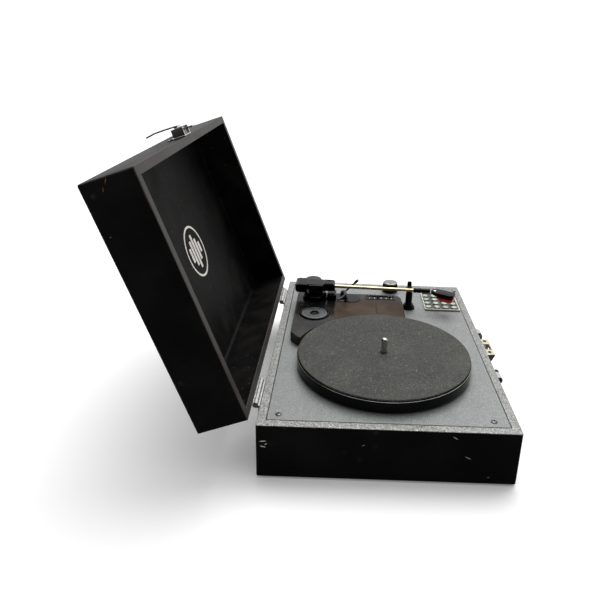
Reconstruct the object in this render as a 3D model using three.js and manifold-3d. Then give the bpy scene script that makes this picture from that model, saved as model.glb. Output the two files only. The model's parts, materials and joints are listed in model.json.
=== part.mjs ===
// Suitcase record player: a boxed base with deck, platter and tonearm, and a deep hinged lid.
// Millimetres, +Z up. The origin is in the middle of the base's underside, and the feet reach below it.
// +X is the listener's right, +Y is the hinge side and -Y is the handle and latch side.

import * as THREE from 'three';
import { mergeVertices } from 'three/addons/utils/BufferGeometryUtils.js';
import Module from 'manifold-3d';

const wasm = await Module();
wasm.setup();

// ---- Driving dimensions ----

const GAP = 0.3;
const WIDTH = 360;
const DEPTH = 254;
const FOOT_HEIGHT = 2;
const BASE_HEIGHT = 58.8;
const LID_HEIGHT = 51.3;
const WALL = 9;
const LEDGE = 4;
const DECK_THICKNESS = 3;
const DECK_MARGIN = 0.7;
const BOTTOM_THICKNESS = 3.5;
const LID_PANEL_THICKNESS = 5;
const LID_OPEN_DEGREES = 110.26;
const HINGE_OFFSET = 4.65;

const RIM = BASE_HEIGHT;
const HALF_W = WIDTH / 2;
const HALF_D = DEPTH / 2;
const FRONT = -HALF_D;
const BACK = HALF_D;

const PLATTER = { x: -58, y: -0.8, radius: 97.9, bottom: 2.6, top: 13.4, skin: 3 };
const MAT = { radius: 96.6, bottom: 13.7, top: 16 };
const SPINDLE = { radius: 3.6, top: 33, flange: 10 };
const BELT_RING = { inner: 62, outer: 65, bottom: 3.6 };
const PULLEY = { radius: 5, reach: 84, angle: 40, bottom: 3.4, top: 9.4 };
const MOTOR = { radius: 16, height: 24, shaft: 1 };
const BELT = { bottom: 4.6, top: 8.4, thickness: 0.9 };

const PLATFORM = { left: 109, near: -9, right: -34.5, far: 110, top: 11.5, arc: 103 };
const ADAPTER = { x: 45, y: 82.8, radius: 19, hole: 3.65, bottom: 6.8, top: 13.2 };
const ARM = { x: 97, y: 84.5, axle: 29.5, pitch: 1.1, tube: 2.2, end: -73 };
const SHELL_ANGLE = 26;
const REST = { x: 98, y: -44.5, shelf: 24.2 };
const CLIP = { x: 101.4, axis: 31, length: 6.6, lean: 20 };
const CUE = { x: 106, y: 46, axle: 15.2, length: 28.6, angle: 134 };
const CUE_PLATE = { x: 96.5, half: 12.5, low: 22, high: 54 };
const LIFT = { y: 43, top: 22 };
const SPEED = { x: 105.5, y: -19, low: -24, high: -3 };
const AUTO_STOP = { x: 105.5, y: 8.7, low: -1, high: 12.7 };
const SLOT_FLOOR = 8.9;

const VOLUME = { x: 156, y: -23, radius: 11, top: 14.4 };
const TONE = { x: 156, y: 89.7, radius: 12.4, top: 15.6 };
const KEYPAD = { x0: 91, x1: 150, y0: -116, y1: -67, row: 12.4, column: 11.9, firstX: 98.7, firstY: -72.5 };
const KEY = { radius: 4.2, bottom: -1.6, top: 3.9, sides: 10 };

const HINGE = { x: 125, length: 46, knuckle: 3, pin: 1.2, bore: 1.5, leaf: 15, count: 5 };
const HANDLE = { x: 55, y: -133.6, z: 44, drop: 33, reach: 48, grip: 8.6 };
const STRIKE = { half: 20, top: RIM - 4, drop: 20, reach: 11 };
const LATCH = { y: -134.7, z: RIM + 10, arm: 4.2, hookEnd: RIM - 8, tip: RIM + 45, half: 6.5 };
const SPEAKER = { x: 120, z: 29, radius: 19 };
const JACK = { x: 60, z: 23 };
const SHAFT = { radius: 3, hole: 3.7, housing: 6.5, drop: 7 };

const ROUND = 24;
const FINE = 64;

// ---- Materials ----

function finish(color, roughness, metalness) {
  return new THREE.MeshStandardMaterial({ color, roughness, metalness });
}

const blackVinyl = finish(0x121110, 0.62, 0);
const darkLining = finish(0x232221, 0.85, 0);
const silverDeck = finish(0xa8aaa6, 0.42, 0.35);
const chrome = finish(0xd8d8d8, 0.12, 1);
const brassTone = finish(0xd9cfae, 0.22, 1);
const glossBlack = finish(0x0c0c0d, 0.15, 0);
const smokePlastic = finish(0x5f5751, 0.18, 0);
const matRubber = finish(0x50504e, 0.9, 0);
const softBlack = finish(0x171717, 0.5, 0);
const tubeMetal = finish(0xd8cba0, 0.25, 1);
const stylusRed = finish(0xbe141e, 0.35, 0);
const keyPlastic = finish(0xdfe6dc, 0.35, 0);
const adapterGrey = finish(0x9a9c9c, 0.35, 0.2);
const boardGreen = finish(0x1e5a34, 0.5, 0);
const steel = finish(0x8d9093, 0.35, 1);
const rubber = finish(0x1a1a1a, 0.8, 0);

// ---- Geometry helpers ----

function toSolid(geometry) {
  const bare = geometry.clone();
  bare.deleteAttribute('normal');
  bare.deleteAttribute('uv');
  const merged = mergeVertices(bare, 1e-4);
  const corners = [];
  for (let i = 0; i < merged.index.count; i += 3) {
    const [a, b, c] = [0, 1, 2].map((k) => merged.index.getX(i + k));
    if (a !== b && b !== c && c !== a) corners.push(a, b, c);
  }
  const vertProperties = new Float32Array(merged.attributes.position.array);
  return new wasm.Manifold(new wasm.Mesh({ numProp: 3, vertProperties, triVerts: new Uint32Array(corners) }));
}

function toGeometry(solid) {
  const mesh = solid.getMesh();
  const geometry = new THREE.BufferGeometry();
  geometry.setAttribute('position', new THREE.BufferAttribute(mesh.vertProperties, 3));
  geometry.setIndex(new THREE.BufferAttribute(mesh.triVerts, 1));
  geometry.computeVertexNormals();
  return geometry;
}

/** One closed body: every piece of `joined` fused, then every piece of `cut` taken away. */
function carve(joined, cut = []) {
  let solid = toSolid(joined[0]);
  for (const piece of joined.slice(1)) solid = solid.add(toSolid(piece));
  for (const piece of cut) solid = solid.subtract(toSolid(piece));
  return toGeometry(solid);
}

function block(x0, x1, y0, y1, z0, z1) {
  const geometry = new THREE.BoxGeometry(x1 - x0, y1 - y0, z1 - z0);
  return geometry.translate((x0 + x1) / 2, (y0 + y1) / 2, (z0 + z1) / 2);
}

/** Upright cylinder. */
function post(radius, x, y, z0, z1, sides = ROUND) {
  const geometry = new THREE.CylinderGeometry(radius, radius, z1 - z0, sides).rotateX(Math.PI / 2);
  return geometry.translate(x, y, (z0 + z1) / 2);
}

/** Cylinder along X. */
function pinX(radius, x0, x1, y, z, sides = 16) {
  const geometry = new THREE.CylinderGeometry(radius, radius, x1 - x0, sides).rotateZ(Math.PI / 2);
  return geometry.translate((x0 + x1) / 2, y, z);
}

/** Cylinder along Y. */
function pinY(radius, x, y0, y1, z, sides = 16) {
  const geometry = new THREE.CylinderGeometry(radius, radius, y1 - y0, sides);
  return geometry.translate(x, (y0 + y1) / 2, z);
}

/** Solid of revolution about Z from [radius, height] points, listed bottom to top on the outside. */
function turned(points, sides = ROUND) {
  const profile = points.map(([r, z]) => new THREE.Vector2(r, z));
  return new THREE.LatheGeometry(profile, sides).rotateX(Math.PI / 2);
}

/** Flat outline in XY, extruded from z0 to z1. */
function slab(shape, z0, z1, curveSegments = 12) {
  const depth = z1 - z0;
  return new THREE.ExtrudeGeometry(shape, { depth, bevelEnabled: false, curveSegments }).translate(0, 0, z0);
}

/** Outline of [y, z] points, extruded along X from x0 to x1. */
function profileX(points, x0, x1) {
  const shape = new THREE.Shape(points.map(([y, z]) => new THREE.Vector2(y, z)));
  const geometry = new THREE.ExtrudeGeometry(shape, { depth: x1 - x0, bevelEnabled: false });
  geometry.rotateX(Math.PI / 2).rotateZ(Math.PI / 2);
  return geometry.translate(x0, 0, 0);
}

function roundedRectangle(x0, x1, y0, y1, r) {
  const shape = new THREE.Shape();
  shape.moveTo(x0 + r, y0);
  shape.lineTo(x1 - r, y0);
  shape.absarc(x1 - r, y0 + r, r, -Math.PI / 2, 0);
  shape.lineTo(x1, y1 - r);
  shape.absarc(x1 - r, y1 - r, r, 0, Math.PI / 2);
  shape.lineTo(x0 + r, y1);
  shape.absarc(x0 + r, y1 - r, r, Math.PI / 2, Math.PI);
  shape.lineTo(x0, y0 + r);
  shape.absarc(x0 + r, y0 + r, r, Math.PI, Math.PI * 1.5);
  return shape;
}

const radians = THREE.MathUtils.degToRad;
const deck = (height) => RIM + height;

const player = new THREE.Group();

function add(parent, name, geometry, material, x = 0, y = 0, z = 0) {
  const mesh = new THREE.Mesh(geometry, material);
  mesh.name = name;
  mesh.position.set(x, y, z);
  parent.add(mesh);
  return mesh;
}

// ---- Base: walls, bottom with feet, deck ----

function baseCase() {
  const walls = block(-HALF_W, HALF_W, FRONT, BACK, 0, RIM);
  const inX = HALF_W - WALL;
  const inY = HALF_D - WALL;
  const seat = RIM - DECK_THICKNESS - GAP;
  const deckPocket = block(-inX, inX, -inY, inY, seat, RIM + 1);
  const ledgeX = inX - LEDGE;
  const ledgeY = inY - LEDGE;
  const cavity = block(-ledgeX, ledgeX, -ledgeY, ledgeY, -1, RIM);
  const jackHole = block(JACK.x - 5.5, JACK.x + 5.5, BACK - 20, BACK + 1, JACK.z - 5.5, JACK.z + 5.5);
  const soundHoles = [-1, 1].map((side) => {
    return pinY(SPEAKER.radius - 2, side * SPEAKER.x, FRONT - 1, FRONT + 20, SPEAKER.z, ROUND);
  });
  return carve([walls], [deckPocket, cavity, jackHole, ...soundHoles]);
}

function baseBottom() {
  const inX = HALF_W - WALL - LEDGE - GAP;
  const inY = HALF_D - WALL - LEDGE - GAP;
  const plate = block(-inX, inX, -inY, inY, 0, BOTTOM_THICKNESS);
  const feet = [];
  for (const sx of [-1, 1]) {
    for (const sy of [-1, 1]) {
      feet.push(post(9, sx * (inX - 14), sy * (inY - 14), -FOOT_HEIGHT, 1, 24));
    }
  }
  return carve([plate, ...feet]);
}

/** Deck with a closed potentiometer housing under each knob. */
function deckPlate() {
  const x = HALF_W - WALL - DECK_MARGIN;
  const y = HALF_D - WALL - DECK_MARGIN;
  const plate = block(-x, x, -y, y, RIM - DECK_THICKNESS, RIM);
  const low = RIM - DECK_THICKNESS - 1;
  const high = RIM + 1;
  const knobs = [VOLUME, TONE];
  const shaftEnd = RIM - SHAFT.drop - 0.5;
  const housings = knobs.map((at) => post(SHAFT.housing, at.x, at.y, shaftEnd - 2, RIM - 1, 16));
  const shaftHoles = knobs.map((at) => post(SHAFT.hole, at.x, at.y, shaftEnd, high, 16));
  const holes = [
    post(SPINDLE.radius + 0.5, PLATTER.x, PLATTER.y, low, high, 24),
    post(PULLEY.radius + 1.5, motorX, motorY, low, high, 24),
    block(KEYPAD.x0 + 2.5, KEYPAD.x1 - 8, KEYPAD.y0 + 2.5, KEYPAD.y1 - 1.2, low, high),
  ];
  return carve([plate, ...housings], [...shaftHoles, ...holes]);
}

const motorX = PLATTER.x + PULLEY.reach * Math.cos(radians(PULLEY.angle));
const motorY = PLATTER.y + PULLEY.reach * Math.sin(radians(PULLEY.angle));

add(player, 'base_case', baseCase(), blackVinyl);
add(player, 'base_bottom', baseBottom(), rubber);
add(player, 'deck_plate', deckPlate(), silverDeck);

// ---- Drive: platter, mat, spindle, belt, pulley, motor ----

function platter() {
  const { radius, bottom, top, skin } = PLATTER;
  const bore = SPINDLE.radius + 0.35;
  const under = top - skin;
  return turned([
    [bore, bottom + 0.6],
    [12, bottom + 0.6],
    [12, under],
    [BELT_RING.inner, under],
    [BELT_RING.inner, BELT_RING.bottom],
    [BELT_RING.outer, BELT_RING.bottom],
    [BELT_RING.outer, under],
    [radius - skin, under],
    [radius - skin, bottom],
    [radius, bottom],
    [radius, top],
    [bore, top],
    [bore, bottom + 0.6],
  ], FINE);
}

function slipMat() {
  const bore = SPINDLE.radius + 0.6;
  return turned([
    [bore, MAT.bottom],
    [MAT.radius, MAT.bottom],
    [MAT.radius, MAT.top],
    [bore, MAT.top],
    [bore, MAT.bottom],
  ], FINE);
}

function spindle() {
  const { radius, top, flange } = SPINDLE;
  return turned([
    [0, -11],
    [radius, -11],
    [radius, GAP],
    [flange, GAP],
    [flange, 2.2],
    [radius, 2.2],
    [radius, top - 2.4],
    [radius * 0.6, top - 0.5],
    [0, top],
  ], 20);
}

/** Flat belt: the outline that wraps the platter's drive ring and the pulley, as a closed band. */
function belt() {
  const outline = (extra) => {
    const big = BELT_RING.outer + extra;
    const small = PULLEY.radius + extra;
    const tangent = Math.acos((big - small) / PULLEY.reach);
    const shape = new THREE.Shape();
    shape.absarc(0, 0, big, tangent, 2 * Math.PI - tangent);
    shape.absarc(PULLEY.reach, 0, small, -tangent, tangent);
    shape.closePath();
    return shape;
  };
  const band = outline(GAP + BELT.thickness);
  band.holes.push(outline(GAP));
  return slab(band, BELT.bottom, BELT.top, 20).rotateZ(radians(PULLEY.angle));
}

function motorPulley() {
  const { radius, bottom, top } = PULLEY;
  const bore = MOTOR.shaft + GAP;
  return turned([
    [bore, bottom],
    [radius + 0.9, bottom],
    [radius + 0.9, bottom + 0.8],
    [radius, bottom + 0.8],
    [radius, top],
    [bore, top],
    [bore, bottom],
  ], 20);
}

function motor() {
  const top = -DECK_THICKNESS - GAP;
  return turned([
    [0, top - MOTOR.height],
    [MOTOR.radius, top - MOTOR.height],
    [MOTOR.radius, top - 3],
    [MOTOR.radius + 5, top - 3],
    [MOTOR.radius + 5, top],
    [4, top],
    [4, top + 2],
    [MOTOR.shaft, top + 2],
    [MOTOR.shaft, PULLEY.top - 0.5],
    [0, PULLEY.top - 0.5],
  ], 24);
}

add(player, 'platter', platter(), glossBlack, PLATTER.x, PLATTER.y, RIM);
add(player, 'slip_mat', slipMat(), matRubber, PLATTER.x, PLATTER.y, RIM);
add(player, 'spindle', spindle(), chrome, PLATTER.x, PLATTER.y, RIM);
add(player, 'drive_belt', belt(), rubber, PLATTER.x, PLATTER.y, RIM);
add(player, 'motor_pulley', motorPulley(), brassTone, motorX, motorY, RIM);
add(player, 'motor', motor(), steel, motorX, motorY, RIM);

// ---- Tonearm platform, 45 adapter, switches ----

function platformOutline() {
  const { left, near, right, far, arc } = PLATFORM;
  const corner = 12;
  const startAngle = radians(70);
  const endAngle = Math.asin((right - PLATTER.y) / arc);
  const shape = new THREE.Shape();
  shape.moveTo(far, left);
  shape.lineTo(near, left);
  shape.lineTo(near - 12, left - 9);
  shape.absarc(PLATTER.x, PLATTER.y, arc, startAngle, endAngle, true);
  shape.lineTo(far - corner, right);
  shape.absarc(far - corner, right + corner, corner, -Math.PI / 2, 0);
  shape.closePath();
  return shape;
}

/** Tongue beside the cue lever: a thin raised plate with one round end. */
function cuePlate() {
  const { x, half, low, high } = CUE_PLATE;
  const shape = new THREE.Shape();
  shape.moveTo(x + half, high);
  shape.lineTo(x - half, high);
  shape.lineTo(x - half, low + half);
  shape.absarc(x, low + half, half, Math.PI, 2 * Math.PI);
  shape.closePath();
  return slab(shape, PLATFORM.top - 1, PLATFORM.top + 0.8, 10);
}

function tonearmPlatform() {
  const { top } = PLATFORM;
  const body = slab(platformOutline(), GAP, top, 24);
  const armBase = post(17, ARM.x, ARM.y, top - 1, top + 2.5);
  const armPost = post(7, ARM.x, ARM.y, top, top + 8.5, 24);
  const ears = [-1, 1].map((side) => {
    const x = CUE.x + side * 2.8;
    return block(x - 0.9, x + 0.9, CUE.y - 4, CUE.y + 4, top, CUE.axle + 3);
  });
  const recess = post(ADAPTER.radius + 0.7, ADAPTER.x, ADAPTER.y, ADAPTER.bottom - GAP, top + 1);
  const peg = post(ADAPTER.hole - 0.6, ADAPTER.x, ADAPTER.y, ADAPTER.bottom - 1, ADAPTER.top - 0.8, 16);
  const pinHole = post(1.9, ARM.x, LIFT.y, 2.6, top + 2, 16);
  const slots = [SPEED, AUTO_STOP].map(({ x, low, high }) => {
    return block(x - 2.6, x + 2.6, low, high, SLOT_FLOOR, top + 1);
  });
  const cut = carve([body, armBase, armPost, cuePlate(), ...ears], [recess, pinHole, ...slots]);
  return carve([cut, peg]);
}

function adapter() {
  const { radius, hole, bottom, top } = ADAPTER;
  return turned([
    [hole, bottom],
    [radius, bottom],
    [radius, top],
    [radius - 3.2, top],
    [radius - 4.2, top - 1.2],
    [hole, top - 1.2],
    [hole, bottom],
  ], ROUND);
}

function slideKnob() {
  const cap = profileX([[-3, 2], [3, 2], [3, 3.2], [1.2, 5.6], [-1.2, 5.6], [-3, 3.2]], -2.1, 2.1);
  const foot = block(-2.1, 2.1, -3, 3, 0, 2.5);
  return carve([foot, cap]);
}

add(player, 'tonearm_platform', tonearmPlatform(), smokePlastic, 0, 0, RIM);
add(player, 'adapter_45', adapter().translate(ADAPTER.x, ADAPTER.y, 0), adapterGrey, 0, 0, RIM);
add(player, 'speed_switch', slideKnob(), softBlack, SPEED.x, SPEED.y, deck(SLOT_FLOOR + GAP));
add(player, 'auto_stop_switch', slideKnob(), softBlack, AUTO_STOP.x, AUTO_STOP.y, deck(SLOT_FLOOR + GAP));

// ---- Tonearm ----

function armYoke() {
  const low = 20.4;
  const plate = block(-12, 12, -10.5, 5.5, low, low + 2.6);
  const cheeks = [-1, 1].map((side) => {
    const x = side * 10.65;
    return block(x - 1.35, x + 1.35, -10.5, 8.6, low, ARM.axle + 4.2);
  });
  const axle = pinX(1.6, -10, 10, 0, ARM.axle);
  return carve([plate, ...cheeks, axle]);
}

/** Bearing block with the balance weight behind it; heights are measured from the axle. */
function armBlock() {
  const centre = block(-8.7, 8.7, -12, 12, -4, 4.6);
  const housing = profileX([[-27, -3.6], [-11, -4.6], [-11, 5.6], [-25, 5.6], [-27, 3.6]], -8.7, 8.7);
  const weight = profileX([[11, -6.4], [24, -6.4], [26.5, -3.6], [26.5, 3.2], [24, 5], [11, 5]], -12, 12);
  const bore = pinX(2, -10, 10, 0, 0);
  return carve([centre, housing, weight], [bore]);
}

/** Straight arm tube with the black collar near its front end, about the Y axis. */
function armTube() {
  const length = ARM.y - 27.3 - ARM.end;
  const collarFar = length - 13;
  const collarNear = length - 23.5;
  const neck = ARM.tube - 0.3;
  return turned([
    [0, 0],
    [ARM.tube, 0],
    [ARM.tube, collarNear],
    [ARM.tube + 1, collarNear],
    [ARM.tube + 1, collarFar],
    [neck, collarFar],
    [neck, length],
    [0, length],
  ], 16).rotateX(Math.PI / 2).translate(0, -27.3, 0);
}

/** Headshell in its own frame: the tube's end is at the origin and it runs along -Y. */
function headshell() {
  const outline = new THREE.Shape();
  outline.moveTo(-3, -1.6);
  outline.lineTo(3, -1.6);
  outline.lineTo(8, -8);
  outline.lineTo(8, -30);
  outline.lineTo(5, -34);
  outline.lineTo(-5, -34);
  outline.lineTo(-8, -30);
  outline.lineTo(-8, -8);
  outline.closePath();
  const body = slab(outline, -2.2, 2.8);
  const fingerLift = block(7.5, 14, -32, -28.5, 1.2, 2.8);
  return carve([body, fingerLift]);
}

function cartridge() {
  const points = [[-31, -2.5], [-31, -4.6], [-28, -6], [-11, -6], [-11, -2.5]];
  return profileX(points, -5.6, 5.6);
}

function stylus() {
  const points = [[-32.5, -6.3], [-31.5, -8], [-27, -8.8], [-13, -7.6], [-13, -6.3]];
  return profileX(points, -5, 5);
}

const armHeight = deck(ARM.axle);
add(player, 'arm_yoke', armYoke(), softBlack, ARM.x, ARM.y, RIM);

const arm = new THREE.Group();
arm.position.set(ARM.x, ARM.y, armHeight);
arm.rotation.x = radians(ARM.pitch);
player.add(arm);
add(arm, 'arm_block', armBlock(), softBlack);
add(arm, 'arm_tube', armTube(), tubeMetal);

const shell = new THREE.Group();
shell.position.set(0, ARM.end - ARM.y, 0);
shell.rotation.z = -radians(SHELL_ANGLE);
arm.add(shell);
add(shell, 'headshell', headshell(), glossBlack);
add(shell, 'cartridge', cartridge(), softBlack);
add(shell, 'stylus', stylus(), stylusRed);

// ---- Arm rest, its clip, and the cueing lift ----

function restPost() {
  const { x, y, shelf } = REST;
  const foot = post(8.8, x, y, GAP, 2.4);
  const step = post(6.2, x, y, 2, 5, 24);
  const column = post(4, x, y, 4, shelf - 1, 24);
  const seat = block(x - 4, x + 4.6, y - 4, y + 4, shelf - 2.4, shelf);
  const cheek = block(x + 1.9, x + 4.6, y - 4, y + 4, shelf - 2.4, CLIP.axis - 1.6);
  return carve([foot, step, column, seat, cheek]);
}

/** Clip standing open on the cheek, leaning away from the tube. */
function restClip() {
  const arm = block(-0.7, 0.7, -3, 3, 0, CLIP.length);
  const barrel = pinY(1.2, 0, -3, 3, 0, 12);
  return carve([barrel, arm]).rotateY(radians(CLIP.lean));
}

function cueLever() {
  const hub = pinX(2.4, -1.5, 1.5, 0, 0);
  const rod = post(1.2, 0, 0, 0, CUE.length - 7, 12);
  const grip = post(1.8, 0, 0, CUE.length - 8, CUE.length, 12);
  return carve([hub, rod, grip]).rotateX(radians(CUE.angle - 90));
}

/** Lift pin with its curved bar, which follows the tube's path round the arm pivot. */
function liftPin() {
  const radius = ARM.y - LIFT.y;
  const start = radians(-86);
  const end = radians(-131);
  const bar = new THREE.Shape();
  bar.absarc(0, 0, radius + 1.2, start, end, true);
  bar.absarc(0, 0, radius - 1.2, end, start, false);
  bar.closePath();
  const arc = slab(bar, LIFT.top - 2.2, LIFT.top, 10).translate(0, ARM.y - LIFT.y, 0);
  return carve([arc, post(1.5, 0, 0, 3, LIFT.top - 1, 16)]);
}

add(player, 'rest_post', restPost(), glossBlack, 0, 0, RIM);
add(player, 'rest_clip', restClip(), softBlack, CLIP.x, REST.y, deck(CLIP.axis));
add(player, 'cue_lever', cueLever(), softBlack, CUE.x, CUE.y, deck(CUE.axle));
add(player, 'lift_pin', liftPin(), chrome, ARM.x, LIFT.y, RIM);

// ---- Knobs and keypad ----

function knob(radius, top) {
  const body = turned([
    [0, -SHAFT.drop],
    [SHAFT.radius, -SHAFT.drop],
    [SHAFT.radius, GAP],
    [radius + 0.6, GAP],
    [radius + 0.6, 2],
    [radius, 3],
    [radius - 0.8, top],
    [0, top],
  ], ROUND);
  const pointer = block(-radius - 1, -radius * 0.45, -0.6, 0.6, top - 0.7, top + 1);
  return carve([body], [pointer]);
}

add(player, 'volume_knob', knob(VOLUME.radius, VOLUME.top), adapterGrey, VOLUME.x, VOLUME.y, RIM);
add(player, 'tone_knob', knob(TONE.radius, TONE.top), smokePlastic, TONE.x, TONE.y, RIM);

const keyPlaces = [];
for (let row = 0; row < 4; row += 1) {
  for (let column = 0; column < 4; column += 1) {
    const x = KEYPAD.firstX + (3 - row) * KEYPAD.row;
    const y = KEYPAD.firstY - column * KEYPAD.column;
    keyPlaces.push({ name: `key_${row + 1}_${column + 1}`, x, y });
  }
}

function keypadBezel() {
  const { x0, x1, y0, y1 } = KEYPAD;
  const rim = slab(roundedRectangle(x0, x1, y0, y1, 2.5), GAP, 2.2, 3);
  const well = slab(roundedRectangle(x0 + 2, x1 - 2, y0 + 2, y1 - 2, 1.5), 1.3, 4, 3);
  const holes = keyPlaces.map(({ x, y }) => post(KEY.radius + 0.5, x, y, -1, 4, KEY.sides));
  return carve([rim], [well, ...holes]);
}

function key() {
  const { radius, bottom, top, sides } = KEY;
  return turned([
    [0, bottom],
    [radius, bottom],
    [radius, top - 1],
    [0, top],
  ], sides);
}

add(player, 'keypad_bezel', keypadBezel(), adapterGrey, 0, 0, RIM);
for (const place of keyPlaces) {
  add(player, place.name, key(), keyPlastic, place.x, place.y, RIM);
}

// ---- Inside the base ----

function keypadBoard() {
  const top = -DECK_THICKNESS - 0.6;
  return block(KEYPAD.x0 + 1, KEYPAD.x1 - 4, KEYPAD.y0 + 3, KEYPAD.y1 - 1, top - 1.6, top);
}

function mainBoard() {
  const low = BOTTOM_THICKNESS + GAP;
  const boardZ = low + 6;
  const board = block(-60, 60, -100, -40, boardZ, boardZ + 1.6);
  const legs = [];
  for (const x of [-55, 55]) {
    for (const y of [-95, -45]) {
      legs.push(post(2.5, x, y, low, boardZ + 0.5, 12));
    }
  }
  const heatSink = block(-50, -20, -95, -85, boardZ + 1, boardZ + 18);
  const transformer = block(20, 48, -75, -50, boardZ + 1, boardZ + 22);
  const capacitor = post(6, 0, -60, boardZ + 1, boardZ + 18, 16);
  return carve([board, ...legs, heatSink, transformer, capacitor]);
}

function speaker() {
  const profile = turned([
    [0, 0],
    [9, 0],
    [9, 7],
    [SPEAKER.radius - 2, 15],
    [SPEAKER.radius, 15],
    [SPEAKER.radius, 17],
    [SPEAKER.radius - 3, 17],
    [0, 11],
  ], 20);
  return profile.rotateX(Math.PI / 2);
}

function powerJack() {
  const face = BACK - 0.5;
  const body = block(JACK.x - 5, JACK.x + 5, face - 14, face, JACK.z - 5, JACK.z + 5);
  return carve([body], [pinY(3, JACK.x, face - 9, face + 1, JACK.z)]);
}

const speakerY = FRONT + WALL + LEDGE + GAP + 17;
add(player, 'keypad_board', keypadBoard(), boardGreen, 0, 0, RIM);
add(player, 'main_board', mainBoard(), boardGreen);
add(player, 'power_jack', powerJack(), softBlack);
add(player, 'speaker_left', speaker(), softBlack, -SPEAKER.x, speakerY, SPEAKER.z);
add(player, 'speaker_right', speaker(), softBlack, SPEAKER.x, speakerY, SPEAKER.z);

// ---- Lid ----

const hingeY = BACK + HINGE_OFFSET;
const lidPivot = new THREE.Group();
lidPivot.position.set(0, hingeY, RIM);
lidPivot.rotation.x = -radians(LID_OPEN_DEGREES);
player.add(lidPivot);

/** The lid's parts are written as if it were shut, and this group stands it open. */
const lid = new THREE.Group();
lid.position.set(0, -hingeY, -RIM);
lidPivot.add(lid);

function lidFrame() {
  const walls = block(-HALF_W, HALF_W, FRONT, BACK, RIM + GAP, RIM + LID_HEIGHT);
  const inX = HALF_W - WALL;
  const inY = HALF_D - WALL;
  return carve([walls], [block(-inX, inX, -inY, inY, RIM - 1, RIM + LID_HEIGHT + 1)]);
}

function lidPanel() {
  const inX = HALF_W - WALL - GAP;
  const inY = HALF_D - WALL - GAP;
  const top = RIM + LID_HEIGHT;
  return block(-inX, inX, -inY, inY, top - LID_PANEL_THICKNESS, top);
}

add(lid, 'lid_frame', lidFrame(), blackVinyl);
add(lid, 'lid_panel', lidPanel(), darkLining);

// ---- Hinges ----

const knuckleStep = HINGE.length / HINGE.count;

function knuckleSpan(index) {
  const start = -HINGE.length / 2 + index * knuckleStep;
  return [start + 0.2, start + knuckleStep - 0.2];
}

/** Base leaf: plate on the back wall, the odd knuckles and the pin through all of them. */
function hingeBase() {
  const half = HINGE.length / 2;
  const parts = [block(-half, half, BACK + GAP, BACK + 1.6, RIM - HINGE.leaf, RIM - 0.3)];
  for (const index of [0, 2, 4]) {
    const [x0, x1] = knuckleSpan(index);
    parts.push(block(x0, x1, BACK + 0.5, hingeY, RIM - HINGE.knuckle, RIM - 0.4));
    parts.push(pinX(HINGE.knuckle, x0, x1, hingeY, RIM));
  }
  parts.push(pinX(HINGE.pin, -half + 1, half - 1, hingeY, RIM, 12));
  return carve(parts);
}

/** Lid leaf: plate on the lid's back wall and the even knuckles, bored for the pin. */
function hingeLid() {
  const half = HINGE.length / 2;
  const parts = [block(-half, half, BACK + GAP, BACK + 1.6, RIM + 0.7, RIM + HINGE.leaf)];
  for (const index of [1, 3]) {
    const [x0, x1] = knuckleSpan(index);
    parts.push(block(x0, x1, BACK + 0.5, hingeY, RIM + 0.7, RIM + HINGE.knuckle));
    parts.push(pinX(HINGE.knuckle, x0, x1, hingeY, RIM));
  }
  return carve(parts, [pinX(HINGE.bore, -half - 1, half + 1, hingeY, RIM, 12)]);
}

for (const [side, x] of [['left', -HINGE.x], ['right', HINGE.x]]) {
  add(player, `hinge_base_${side}`, hingeBase(), chrome, x);
  add(lid, `hinge_lid_${side}`, hingeLid(), chrome, x);
}

// ---- Latch on the lid, strike on the base ----

const latchPivot = { radius: 1, bore: 1.35, hub: 2.2 };
const hookPivot = { radius: 0.8, bore: 1.1, eye: 1.7, half: 5.3 };
const hookZ = LATCH.z - LATCH.arm;

function latchPlate() {
  const plate = block(-12, 12, FRONT - GAP - 1, FRONT - GAP, RIM + 1.5, RIM + 22);
  const ears = [-1, 1].map((side) => {
    const x = side * 10.2;
    return block(x - 1, x + 1, LATCH.y - 2.8, FRONT - 1, RIM + 1.5, RIM + 15);
  });
  return carve([plate, ...ears, pinX(latchPivot.radius, -10, 10, LATCH.y, LATCH.z)]);
}

/** Lever folded flat along the lid, its tip curling in a little; the hook's pin is below the hub. */
function latchLever() {
  const { y, z, half, tip } = LATCH;
  const face = y - 3.9;
  const blade = profileX([
    [face, z - 2.6],
    [face - 1.6, z - 2.6],
    [face - 2, z + 14],
    [face - 1.8, z + 26],
    [face - 0.2, tip],
    [face + 1.4, tip],
    [face - 0.2, z + 25],
    [face - 0.3, z + 12],
  ], -half, half);
  const hub = pinX(latchPivot.hub, -8.8, 8.8, y, z);
  const web = block(-half, half, face - 0.8, y, z - 1.8, z + 1.8);
  const lugs = [-1, 1].map((side) => {
    const x = side * (half - 0.1);
    return block(x - 0.7, x + 0.7, y - 1.5, y + 1.5, hookZ - 1.5, z);
  });
  const hookPin = pinX(hookPivot.radius, -half, half, y, hookZ, 12);
  return carve([hub, web, blade, ...lugs, hookPin], [pinX(latchPivot.bore, -10, 10, y, z)]);
}

/** Hook hanging from the lever; it drops into the strike when the lid is shut. */
function latchHook() {
  const { y, hookEnd } = LATCH;
  const { half, eye, bore } = hookPivot;
  const barrel = pinX(eye, -half, half, y, hookZ);
  const tongue = block(-half, half, y - 0.8, y + 0.8, hookEnd, hookZ);
  return carve([barrel, tongue], [pinX(bore, -half - 1, half + 1, y, hookZ, 12)]);
}

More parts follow.
